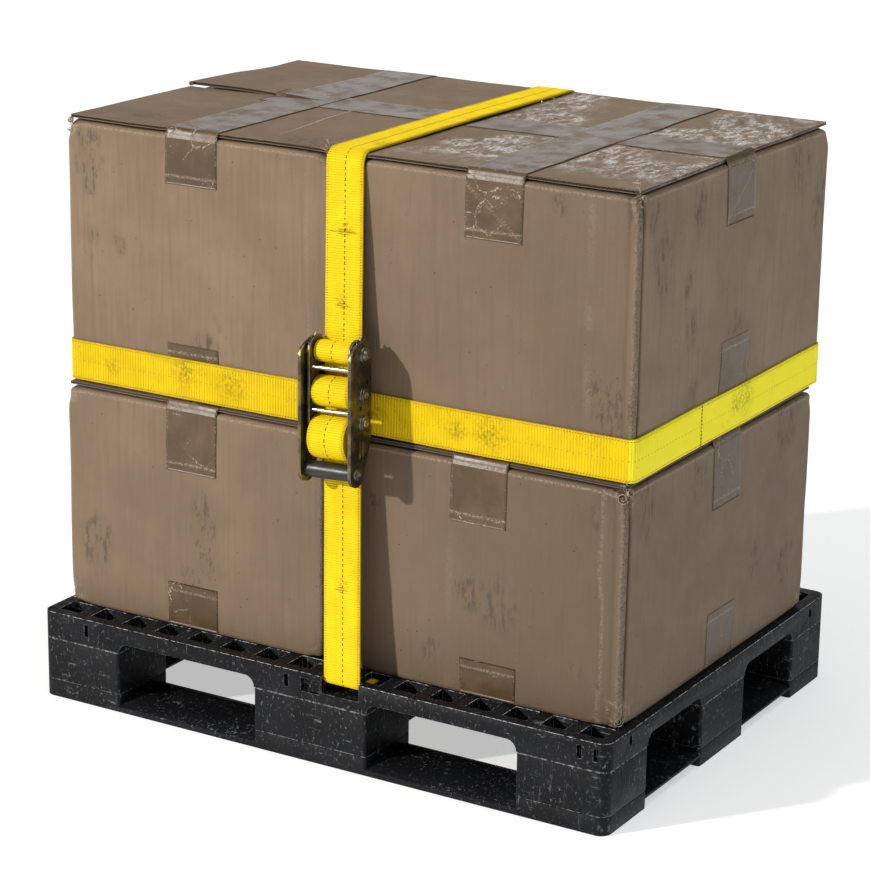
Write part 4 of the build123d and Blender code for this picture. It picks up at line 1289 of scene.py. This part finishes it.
def make_tape(carton, material):
    """The strips of tape over the carton's seams, laid on its walls and flaps."""
    width = scene_settings().tape.width / MM
    low, high = carton.low, carton.high
    skin = 0.30
    lifted = carton.high[2] + 0.25
    stack = []
    for end, (place, front_tab, side_tab) in zip(("top", "bottom"), TAPE_STRIPS[carton.name]):
        for along in (1, 0):
            tab = front_tab if along == 1 else side_tab
            centre = carton.middle[0] + place if along == 1 else 0.0
            a, b = low[along] - skin, high[along] + skin
            rise = skin * (1.0 if along == 1 else 0.5)
            if end == "top":
                foot, shoulder = high[2] - tab, high[2] - 11.0
                corners = [(a, foot), (a, shoulder), (a + carton.inset, lifted + rise),
                           (b - carton.inset, lifted + rise), (b, shoulder), (b, foot)]
                if along == 0 and carton.name in OPEN_SEAM:
                    corners = [(low[0] + OPEN_SEAM[carton.name], lifted + rise)] + corners[3:]
                runs = [corners]
            else:
                runs = [[(a, low[2] + tab), (a, low[2] + 3.5)], [(b, low[2] + 3.5), (b, low[2] + tab)]]
            for number, run in enumerate(runs):
                knots = []
                for s, z in run:
                    knot = (centre, s, z) if along == 1 else (s, centre, z)
                    knots.append(np.array(knot, float))
                radii = [5.0] * len(knots)
                path = routed(knots, radii, 2.6, closed=False)
                side = (1.0, 0.0, 0.0) if along == 1 else (0.0, 1.0, 0.0)
                side = np.array(side) * (-1.0 if along == 1 else 1.0)
                points, faces, uv = strip_shell(path, side, width, 0.16, 24, closed=False)
                stack.append((f"{end}_{'xy'[along]}_{number}", points, faces, uv, run, end))
    for label, points, faces, uv, run, end in stack:
        centre = carton.middle
        flat = points.copy()
        points = points + carton.sway(np.clip(points, low, high))
        points[:, 2] += flap_lift(carton, flat) * (flat[:, 2] > high[2] - 2.0)
        away = points - centre
        unit = np.abs(away) / carton.half
        lead = unit.argmax(1)
        wrinkle = lumps(flat, 16.0, carton.seed + 71) * 0.16
        wrinkle = wrinkle + lumps(flat, 5.0, carton.seed + 73) * 0.10 + 0.14
        rows = np.arange(len(points))
        points[rows, lead] += np.sign(away[rows, lead]) * wrinkle
        ends = [z for s, z in run]
        foot = min(ends) if end == "top" else max(ends)
        sign = 1.0 if end == "top" else -1.0
        wall = flat[:, 2] < high[2] - 4.0
        crease = near(flat[:, 2], high[2] - 9.0, 2.4) * wall * 0.9
        crease = np.maximum(crease, near(flat[:, 2], foot + sign * 10.0, 1.9) * 0.55 * wall)
        top_line = near(uv[:, 1], 4.0 * lumps(flat, 70.0, 77), 2.2)
        crease = np.maximum(crease, top_line * (flat[:, 2] > high[2] - 1.0) * 0.6)
        slant = (uv[:, 1] - 8.0) * 0.8 - (flat[:, 2] - high[2] + 40.0)
        slanted = end == "top" and carton.name == "upper_right"
        crease = np.maximum(crease, near(slant, 0.0, 2.2) * wall * slanted * 0.45)
        piece = new_piece(
            f"tape_{label}_{carton.name}", points, faces, material,
            attributes={"crease": crease}, uv=uv)
    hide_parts("tape_" + carton.name)


def make_scratch(material):
    """Long tear in the liner on the top of the upper left carton, with raised lips."""
    carton = Carton("upper_left")
    share = np.linspace(0.0, 1.0, 60)[:, None]
    start, end = np.array((-103.0, -206.0, carton.high[2])), np.array((-118.0, 2.0, carton.high[2]))
    path = start + (end - start) * share
    path[:, 0] += lumps(path, 30.0, 91) * 2.6 + lumps(path, 9.0, 92) * 0.8
    path[:, 2] += carton.sway(path)[:, 2] + 0.05
    width = 0.6 + 3.0 * np.sin(math.pi * share[:, 0]) ** 0.6
    _, side, _ = path_frame(path, (-1.0, 0.0, 0.0), False)
    profile = ((-1.0, 0.0), (-0.55, 0.9), (-0.1, 0.25), (0.3, 0.2), (0.7, 1.0), (1.0, 0.0), (0.5, -0.4),
        (-0.5, -0.4))
    points, faces = [], []
    for k in range(len(path)):
        ragged = 0.7 + 0.5 * lumps(path[k:k + 1] * 3.0, 7.0, 95)[0]
        for v, lift in profile:
            points.append(path[k] + side[k] * v * width[k] * 0.55 + UP * lift * 0.8 * ragged)
    size = len(profile)
    for k in range(len(path) - 1):
        for j in range(size):
            a, b = k * size + j, k * size + (j + 1) % size
            faces.append((a, b, b + size, a + size))
    faces.append(tuple(reversed(range(size))))
    faces.append(tuple(range((len(path) - 1) * size, len(path) * size)))
    points, faces = with_outward_faces(points, faces)
    return new_piece("tear_upper_left", points, faces, material)


# ---------------------------------------------------------------- webbing

def webbing_piece(name, path, side, closed, rib_pitch, finishes, across=14, swell=None, rows=(), ribs=True):
    """Webbing along a path: its core, its ribs and its rows of stitches. Returns the core."""
    settings = scene_settings().webbing
    width, thickness = settings.width / MM, settings.thickness / MM
    shaded_core_yarn, rib_yarn, thread = finishes
    points, faces, uv = strip_shell(path, side, width, thickness, across, closed, swell)
    core = new_piece(name + "_core", points, faces, shaded_core_yarn, uv=uv)
    core.data.set_sharp_from_angle(angle=math.radians(50.0))
    tangent, across_way, normal = path_frame(path, side, closed)
    shift = swell(path) if swell is not None else np.zeros(len(path))
    surface = path + normal * (thickness + shift)[:, None]
    if ribs:
        bar = with_outward_faces(*bar_points(width - 0.8, rib_pitch * 0.94, 0.42))
        with Unit("rib", *bar) as unit:
            repeated(name + "_ribs", surface, normal, tangent, unit, rib_pitch, rib_yarn, closed,
                     size_spread=0.004)
    for number, (offset, pitch, length, thick, shade) in enumerate(rows):
        line = surface + across_way * offset + normal * 0.28
        stitch = with_outward_faces(*thread_points(length, thick, 0.34))
        with Unit("stitch", *stitch) as unit:
            repeated(f"{name}_stitches_{number}", line, normal, tangent, unit, pitch, thread[shade], closed,
                     size_spread=0.12, turn_spread=0.09, seed=5 + number)
    return core


def make_band(finishes):
    """The sewn band round the foot of the upper cartons, with its joining seam."""
    low, high, gap = BAND_LOW, BAND_HIGH, 2.5
    skin = 0.35
    x0, x1 = low[0] + gap - skin, high[0] - gap + skin
    y0, y1 = low[1] + gap - skin, high[1] - gap + skin
    corners = [(x0, y0, BAND_LEVEL), (x1, y0, BAND_LEVEL), (x1, y1, BAND_LEVEL), (x0, y1, BAND_LEVEL)]
    path = routed(corners, (8.0,) * 4, 4.0, closed=True)
    path[:, 2] += lumps(path, 150.0, 41) * 1.3
    settings = scene_settings().webbing
    pitch = settings.band_rib_pitch / MM
    rows = ((22.6, pitch, 1.5, 0.9, 1), (-22.6, pitch, 1.5, 0.9, 1), (0.0, pitch * 2, 1.7, 0.7, 1))
    core = webbing_piece("band", path, UP, True, pitch, finishes, rows=rows,
                         swell=lambda p: np.abs(lumps(p, 70.0, 43)) * 0.5)
    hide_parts("horizontal_strap")
    seam = np.array([(x1 + 2.9, -84.0, BAND_LEVEL + z) for z in np.linspace(-23.0, 23.0, 30)])
    seam[:, 2] += lumps(seam, 150.0, 41)
    stitch = with_outward_faces(*thread_points(2.7, 1.3, 0.6))
    with Unit("seam_stitch", *stitch) as unit:
        repeated("band_seam", seam, (1.0, 0.0, 0.0), UP, unit, 4.2, finishes[2][0], size_spread=0.1,
                 turn_spread=0.1, seed=9)
    return core


# Corners of the lashing, as inner face points: front top, back top, back bottom and front bottom.
LASHING_TOP_X, LASHING_BOTTOM_X = 16.0, 43.0
LASHING_TOP_Y, LASHING_BOTTOM_Y = 250.0, 293.0
LASHING_TOP_Z, LASHING_BOTTOM_Z = 733.0, 104.0


class Ratchet:
    """The ratchet's own frame: X along the spindle, +Y towards the cartons, +Z up the lashing."""

    idler, end_bolt, end_roll, grip = 47.0, 80.0, 100.0, 138.0
    grip_forward, line = 13.0, 12.5
    frame_out, handle_in, handle_out = 29.0, 32.1, 35.1

    def __init__(self):
        joint = frame["joints"][0]
        self.origin = np.array(joint["pos_m"]) / MM
        self.x = -np.array(joint["axis"])
        run = np.array((LASHING_TOP_X - LASHING_BOTTOM_X, LASHING_BOTTOM_Y - LASHING_TOP_Y,
                        LASHING_TOP_Z - LASHING_BOTTOM_Z))
        self.z = run / np.linalg.norm(run)
        self.y = np.cross(self.z, self.x)
        self.y = self.y / np.linalg.norm(self.y)

    def place(self, points):
        points = np.asarray(points, float)
        return self.origin + points[:, :1] * self.x + points[:, 1:2] * self.y + points[:, 2:3] * self.z


def make_lashing(finishes):
    """The lashing round the whole load, with its winding and its two rolls in the ratchet."""
    ratchet = Ratchet()
    settings = scene_settings().webbing
    pitch = settings.lashing_rib_pitch / MM
    skin = 0.4
    top_y, top_z = LASHING_TOP_Y + skin, LASHING_TOP_Z + skin + 0.3
    bottom_y, bottom_z = LASHING_BOTTOM_Y + skin, LASHING_BOTTOM_Z - skin
    tail = ratchet.place([(0.0, ratchet.line, -ratchet.idler)])[0]
    foot = ratchet.place([(0.0, ratchet.line, -ratchet.end_roll - 8.0)])[0]
    corners = [
        tail, (LASHING_TOP_X, -top_y, top_z), (LASHING_TOP_X, top_y, top_z),
        (LASHING_BOTTOM_X, bottom_y, bottom_z), (LASHING_BOTTOM_X, -bottom_y, bottom_z), foot,
    ]
    path = routed(corners, (0, 15.0, 12.0, 6.0, 6.0, 0), 4.0, closed=False)
    height = path[:, 2]
    path[:, 2] += near(path[:, 1], 0.0, 240.0) * (height > top_z - 2.0) * 0.8
    rows = ((22.4, pitch * 1.1, 1.25, 0.8, 1), (-22.4, pitch * 1.1, 1.25, 0.8, 1), (-1.0, 6.4, 4.0, 1.3, 0))
    core = webbing_piece("lashing", path, (-1.0, 0.0, 0.0), False, pitch, finishes, rows=rows,
                         swell=lambda p: np.abs(lumps(p, 55.0, 47)) * 0.35)
    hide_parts("lashing_strap")
    rolls = (("winding", 0.0, 12.2, 1.3, 0.0), ("idler_roll", -ratchet.idler, 17.6, 3.2, 0.4),
             ("end_roll", -ratchet.end_roll, 26.2, 3.6, 0.9))
    for number, (name, z, radius, turns, slack) in enumerate(rolls):
        end = 0.30
        angles = np.linspace(end - 2 * math.pi * turns, end, int(40 * turns) + 1)
        r = radius - 2.5 * (end - angles) / (2 * math.pi)
        r = r * (1.0 + 0.012 * slack * np.sin(2 * angles + number))
        local = np.stack((np.zeros_like(r), r * np.cos(angles), z + r * np.sin(angles)), 1)
        spiral = ratchet.place(local)
        outer_turn = spiral[-41:]
        inner = spiral[:-40]
        if len(inner) > 3:
            points, faces, uv = strip_shell(inner, ratchet.x, 49.6, 2.0, 6, False)
            new_piece(name + "_inside", points, faces, finishes[1], uv=uv)
        webbing_piece(name, outer_turn, ratchet.x, False, 3.1, finishes, rows=(
            (22.4, 3.4, 1.3, 0.8, 1), (-22.4, 3.4, 1.3, 0.8, 1), (-1.0, 6.6, 4.2, 1.3, 0)))
    marks = ((0.0, 137.0, 17.0), (0.0, 52.0, 9.0), (0.0, -285.0, 8.0))
    for number, (x, z, half) in enumerate(marks):
        for step, level in enumerate((0.0, 2.6, -2.6)):
            reach = half * (1.0 if step == 0 else 0.35)
            local = [(s, ratchet.line - 3.2, z + level) for s in np.linspace(-reach, reach, 12)]
            stitch = with_outward_faces(*thread_points(1.5, 0.8, 0.5))
            with Unit("mark_stitch", *stitch) as unit:
                repeated(f"lashing_mark_{number}_{step}", ratchet.place(local), -ratchet.y, ratchet.x, unit,
                         2.1, finishes[2][0], size_spread=0.3, turn_spread=0.3, seed=21 + number)


# ---------------------------------------------------------------- ratchet

def turned_piece(name, outline, centre, material, body, sides=40):
    """Solid of revolution about the spindle's direction from (x, radius) pairs in ratchet space."""
    ratchet = Ratchet()
    y0, z0 = centre
    points, faces = [], []
    for x, radius in outline:
        for k in range(sides):
            angle = 2 * math.pi * k / sides
            points.append((x, y0 + radius * math.cos(angle), z0 + radius * math.sin(angle)))
    for ring in range(len(outline) - 1):
        for k in range(sides):
            a, b = ring * sides + k, ring * sides + (k + 1) % sides
            faces.append((a, b, b + sides, a + sides))
    faces.append(tuple(reversed(range(sides))))
    last = (len(outline) - 1) * sides
    faces.append(tuple(range(last, last + sides)))
    points, faces = with_outward_faces(points, faces)
    points = ratchet.place(points)
    points, faces = with_outward_faces(points - points.mean(0), faces)[0] + points.mean(0), faces
    piece = new_piece(name, points, faces, material, body)
    piece.data.set_sharp_from_angle(angle=math.radians(32.0))
    return piece


def head_outline(base, side, washer, ring, dome, height):
    """Outline of a riveted head: washer, ring and domed end, from the plate outwards."""
    steps = (
        (-0.2, washer - 0.3), (0.0, washer), (height * 0.22, washer), (height * 0.30, washer - 0.5),
        (height * 0.30, ring + 0.3), (height * 0.34, ring), (height * 0.58, ring - 0.1),
        (height * 0.66, ring - 0.7),
        (height * 0.62, dome + 0.2), (height * 0.70, dome), (height * 0.88, dome - 0.3), (height, dome - 1.2),
        (height * 0.93, dome * 0.35), (height * 0.90, 0.4),
    )
    return [(side * (base + x), radius) for x, radius in steps]


def make_ratchet(plate, rubbed, rod, grip_finish):
    """Plates, spindle, bolts, rods, rivets and grip of the ratchet."""
    edge = scene_settings().ratchet.edge
    steel = [plate, rubbed]
    for node, width, body in (
            ("ratchet_frame", edge, LOAD), ("ratchet_spindle", edge * 0.45, LOAD),
            ("ratchet_end_bolt", edge * 0.5, LOAD),
            ("ratchet_idler_bolt", edge * 0.5, LOAD), ("ratchet_handle", edge, HANDLE),
            ("ratchet_grip_bolt", edge * 0.5, HANDLE), ("ratchet_rivets", edge * 0.5, HANDLE)):
        bevelled_copy(node, node + "_shape", width, steel, body)
    ratchet = Ratchet()
    outer = ratchet.handle_out
    heads = (
        ("spindle", (0.0, 0.0), outer + 0.3, 9.6, 7.0, 4.6, 6.4, LOAD),
        ("idler", (0.0, -ratchet.idler), outer, 8.4, 6.4, 4.4, 4.6, HANDLE),
        ("end", (0.0, -ratchet.end_bolt), outer, 9.4, 7.2, 5.0, 4.9, HANDLE),
        ("grip", (-ratchet.grip_forward, -ratchet.grip), outer, 6.6, 5.0, 3.4, 4.4, HANDLE),
    )
    for label, centre, base, washer, ring, dome, height, body in heads:
        for side, hand in ((-1, "left"), (1, "right")):
            outline = head_outline(base, side, washer, ring, dome, height)
            turned_piece(f"{label}_head_{hand}", outline, centre, rubbed, body)
    for number, drop in enumerate((18.0, 68.0)):
        reach, radius = ratchet.frame_out, 2.75
        outline = [(-reach - 0.4, radius - 0.9), (-reach, radius - 0.2), (-reach + 4, radius), (0.0, radius),
                   (reach - 4, radius), (reach, radius - 0.2), (reach + 0.4, radius - 0.9)]
        piece = turned_piece(f"cross_rod_{number}", outline, (-14.0, -drop), rod, LOAD, 28)
        if number == 0:
            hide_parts("ratchet_rods")
    reach, radius = ratchet.handle_in - 0.4, 10.2
    outline = [(-reach, 6.0), (-reach, 9.0), (-reach + 0.8, radius - 0.2), (-reach + 2.2, radius),
               (-reach + 3.4, radius), (-reach + 4.0, radius - 0.7), (-reach + 12, radius - 0.35),
               (0.0, radius - 0.15), (reach - 12, radius - 0.35), (reach - 4.0, radius - 0.7),
               (reach - 3.4, radius), (reach - 2.2, radius), (reach - 0.8, radius - 0.2),
               (reach, 9.0), (reach, 6.0)]
    grip = turned_piece("grip_sleeve", outline, (-ratchet.grip_forward, -ratchet.grip), grip_finish, HANDLE,
                        56)
    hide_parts("ratchet_grip")


# ---------------------------------------------------------------- stage

def sun(name, towards, strength, angle, colour=(1.0, 1.0, 1.0)):
    """Even light that shines from a direction."""
    light = bpy.data.lights.new(name, "SUN")
    light.energy = strength
    light.angle = math.radians(angle)
    light.color = colour
    lamp = bpy.data.objects.new(name, light)
    lamp.rotation_mode = "QUATERNION"
    lamp.rotation_quaternion = Vector(towards).to_track_quat("Z", "Y")
    bpy.context.scene.collection.objects.link(lamp)
    return lamp


def direction(left, rise):
    """Direction of a light, in degrees left of the front and above the floor."""
    a, e = math.radians(left), math.radians(rise)
    return (-math.sin(a) * math.cos(e), -math.cos(a) * math.cos(e), math.sin(e))


def make_camera(settings):
    camera = bpy.data.cameras.new("camera")
    camera.lens = settings.lens
    camera.sensor_width = 36.0
    camera.clip_start, camera.clip_end = 0.05, 200.0
    holder = bpy.data.objects.new("camera", camera)
    yaw, pitch, roll = settings.yaw, settings.pitch, settings.roll
    back = Vector((math.sin(yaw) * math.cos(pitch), -math.cos(yaw) * math.cos(pitch), math.sin(pitch)))
    right = (-back).cross(Vector((0, 0, 1))).normalized()
    up = right.cross(-back)
    turned_right = right * math.cos(roll) + up * math.sin(roll)
    turned_up = up * math.cos(roll) - right * math.sin(roll)
    matrix = Matrix((turned_right, turned_up, back)).transposed().to_4x4()
    matrix.translation = Vector(settings.eye)
    holder.matrix_world = matrix
    bpy.context.scene.collection.objects.link(holder)
    bpy.context.scene.camera = holder


class STACK_OT_stage(bpy.types.Operator):
    """Make the floor, the lights and the camera"""
    bl_idname = "stack.stage"
    bl_label = "Stage"

    def execute(self, context):
        settings = scene_settings().stage
        half = 40.0
        mesh = bpy.data.meshes.new("floor")
        mesh.from_pydata([(-half, -half, -0.0004), (half, -half, -0.0004), (half, half, -0.0004),
                          (-half, half, -0.0004)], [], [(0, 1, 2, 3)])
        floor = bpy.data.objects.new("floor", mesh)
        mesh.materials.append(plain_pale("pale_floor", settings.floor, settings.floor_glow))
        bpy.context.scene.collection.objects.link(floor)
        sun("key", direction(37.0, 22.0), settings.key_power, 2.2, (1.0, 0.965, 0.92))
        sun("sky", direction(-10.0, 78.0), settings.sky_power, 60.0)
        sun("back_glare", direction(149.0, 14.0), settings.glare_power, 26.0)
        sun("side_fill", direction(-95.0, 26.0), settings.fill_power, 50.0, (0.76, 0.90, 1.0))
        world = bpy.data.worlds.new("room")
        world.use_nodes = True
        background = world.node_tree.nodes["Background"]
        background.inputs["Color"].default_value = (1.0, 1.0, 1.0, 1.0)
        background.inputs["Strength"].default_value = settings.room
        context.scene.world = world
        context.scene.view_settings.view_transform = "Standard"
        context.scene.view_settings.look = "None"
        make_camera(settings)
        return {"FINISHED"}


class STACK_OT_pallet(bpy.types.Operator):
    """Give the three pallet mouldings their rubbed edges and scuffed plastic"""
    bl_idname = "stack.pallet"
    bl_label = "Pallet"

    def execute(self, context):
        settings = scene_settings().pallet
        finishes = [moulded_plastic(settings, False), moulded_plastic(settings, True)]
        for node, name in (("pallet_deck", "pallet_deck_moulding"),
                           ("pallet_blocks", "pallet_block_mouldings"),
                           ("pallet_base", "pallet_base_moulding")):
            bevelled_copy(node, name, settings.edge, finishes, LOAD)
        return {"FINISHED"}


class STACK_OT_cartons(bpy.types.Operator):
    """Make the four cartons with their flaps, cut edges and torn corners"""
    bl_idname = "stack.cartons"
    bl_label = "Cartons"

    def execute(self, context):
        settings = scene_settings().cartons
        board, torn, core = kraft_board(settings), torn_liner(settings), flute_core(settings)
        cartons = {name: Carton(name) for name in CARTON_NAMES}
        with Unit("flute", *flute_unit(settings.board / MM)) as unit:
            for carton in cartons.values():
                carton_wall(carton, board)
                for side in (-1, 1):
                    make_flap(carton, side, board, core, unit)
        with Unit("shred", *shred_unit()) as unit:
            for number, (name, sign_x, sign_y, below, spread, count) in enumerate(TORN):
                carton = cartons[name]
                path, facing = tear_path(carton, sign_x, sign_y, below, spread, count)
                heading = np.cross(facing, (0.3, 0.2, 1.0))
                length = lengths_along(path, False)[-1]
                repeated(f"shreds_{number}_{name}", path, facing, heading, unit, length / count, torn,
                         size=0.86, size_spread=0.5, turn_spread=0.9, seed=31 + number)
        left, right, lower = cartons["upper_left"], cartons["upper_right"], cartons["lower_right"]
        curls = (
            ("curl_0", left.high * (1, 0, 1) + (-3.0, left.low[1] + 3.0, -5.0), 3.6, 1.7, 5.0,
                (0.5, -0.8, 0.1), 0.4),
            ("curl_1", (left.low[0] + 4.0, left.low[1] + 3.0, left.high[2] - 7.0), 3.4, 1.5, 6.0,
                (-0.6, -0.7, 0.2), 1.4),
            ("curl_2", (right.high[0] - 1.0, right.low[1] + 6.5, right.high[2] - 9.0), 2.8, 1.6, 5.0,
                (0.6, -0.7, 0.2), 2.0),
            ("curl_3", (lower.high[0] - 6.0, lower.low[1] + 1.5, lower.high[2] - 15.0), 6.4, 1.3, 5.0,
                (0.2, -0.9, 0.1), 0.9),
            ("curl_4", (lower.high[0] - 1.0, lower.low[1] + 6.0, lower.high[2] - 9.0), 4.6, 1.4, 6.0,
                (0.8, -0.5, 0.3), 2.6),
            ("curl_5", (lower.high[0] - 4.0, lower.low[1] + 4.0, lower.low[2] + 9.0), 5.4, 1.5, 7.0,
                (0.5, -0.8, 0.3), 0.2),
            ("curl_6", (left.low[0] + 4.0, 1.0, left.high[2] + 2.6), 3.0, 1.6, 5.0, (0.1, -1.0, 0.0), 2.2),
        )
        for name, centre, radius, turns, length, axis, start in curls:
            make_curl(name, centre, radius, turns, length, axis, torn, start)
        make_scratch(torn)
        return {"FINISHED"}


class STACK_OT_tape(bpy.types.Operator):
    """Lay the parcel tape over the seams of the cartons"""
    bl_idname = "stack.tape"
    bl_label = "Tape"

    def execute(self, context):
        film = parcel_film(scene_settings().tape)
        for name in CARTON_NAMES:
            make_tape(Carton(name), film)
        return {"FINISHED"}


def webbing_finishes(name, tone):
    settings = scene_settings().webbing
    grime = ((-210, -253, 440, 30), (-142, -253, 434, 34), (213, -253, 431, 34), (170, -253, 430, 20),
             (392, 30, 440, 40), (392, 10, 436, 24), (-384, 80, 430, 40), (80, 253, 430, 44),
             (60, -253, 432, 20), (22, -262, 648, 16), (20, -262, 563, 13), (40, -285, 228, 14),
             (-320, -253, 430, 18),
             (30, -200, 735, 18), (36, 262, 400, 30))
    rib_yarn = webbing_yarn(settings, name + "_ribs", tone, grime)
    # Painted shade: the core that shows between the ribs gets the same yarn made darker.
    shaded_core_yarn = webbing_yarn(settings, name + "_core", [t * 0.86 for t in tone], grime)
    threads = (stitch_thread("black_thread", (0.012, 0.011, 0.010)),
        stitch_thread("dark_thread", (0.17, 0.115, 0.004)))
    return shaded_core_yarn, rib_yarn, threads


class STACK_OT_band(bpy.types.Operator):
    """Make the sewn band with its ribs, stitches and seam"""
    bl_idname = "stack.band"
    bl_label = "Band"

    def execute(self, context):
        make_band(webbing_finishes("band", (0.80, 0.74, 0.6)))
        return {"FINISHED"}


class STACK_OT_lashing(bpy.types.Operator):
    """Make the lashing and its rolls in the ratchet"""
    bl_idname = "stack.lashing"
    bl_label = "Lashing"

    def execute(self, context):
        make_lashing(webbing_finishes("lashing", (0.92, 0.88, 0.8)))
        return {"FINISHED"}


class STACK_OT_ratchet(bpy.types.Operator):
    """Make the ratchet with its plates, heads, rods and grip"""
    bl_idname = "stack.ratchet"
    bl_label = "Ratchet"

    def execute(self, context):
        settings = scene_settings().ratchet
        make_ratchet(zinc_plate(settings, False), zinc_plate(settings, True), bright_rod(), grip_plastic())
        return {"FINISHED"}


# ---------------------------------------------------------------- panel and registration

class StackSettings(bpy.types.PropertyGroup):
    cartons: bpy.props.PointerProperty(type=CartonSettings, name="Cartons",
        description="Settings of the cartons")
    tape: bpy.props.PointerProperty(type=TapeSettings, name="Tape", description="Settings of the tape")
    webbing: bpy.props.PointerProperty(type=WebbingSettings, name="Webbing",
        description="Settings of the webbing")
    pallet: bpy.props.PointerProperty(type=PalletSettings, name="Pallet",
        description="Settings of the pallet")
    ratchet: bpy.props.PointerProperty(type=RatchetSettings, name="Ratchet",
        description="Settings of the ratchet")
    stage: bpy.props.PointerProperty(type=StageSettings, name="Stage", description="Settings of the stage")


SETTINGS = (CartonSettings, TapeSettings, WebbingSettings, PalletSettings, RatchetSettings,
            StageSettings, StackSettings)
OPERATORS = (STACK_OT_stage, STACK_OT_pallet, STACK_OT_cartons, STACK_OT_tape, STACK_OT_band,
             STACK_OT_lashing, STACK_OT_ratchet)


class STACK_PT_panel(bpy.types.Panel):
    """Buttons and settings of the carton stack"""
    bl_idname = "STACK_PT_panel"
    bl_label = "Carton stack"
    bl_space_type = "VIEW_3D"
    bl_region_type = "UI"
    bl_category = "Carton stack"

    def draw(self, context):
        layout = self.layout
        for operator in OPERATORS:
            layout.operator(operator.bl_idname)
        for group in ("cartons", "tape", "webbing", "pallet", "ratchet", "stage"):
            settings = getattr(context.scene.carton_stack, group)
            box = layout.box()
            box.label(text=group.capitalize())
            for key in settings.__annotations__:
                box.prop(settings, key)


CLASSES = (*SETTINGS, *OPERATORS, STACK_PT_panel)


def register():
    for entry in CLASSES:
        bpy.utils.register_class(entry)
    bpy.types.Scene.carton_stack = bpy.props.PointerProperty(type=StackSettings)


def unregister():
    del bpy.types.Scene.carton_stack
    for entry in reversed(CLASSES):
        bpy.utils.unregister_class(entry)


def main():
    register()
    bpy.ops.stack.stage()
    bpy.ops.stack.pallet()
    bpy.ops.stack.cartons()
    bpy.ops.stack.tape()
    bpy.ops.stack.band()
    bpy.ops.stack.lashing()
    bpy.ops.stack.ratchet()


if __name__ == "__main__":
    main()
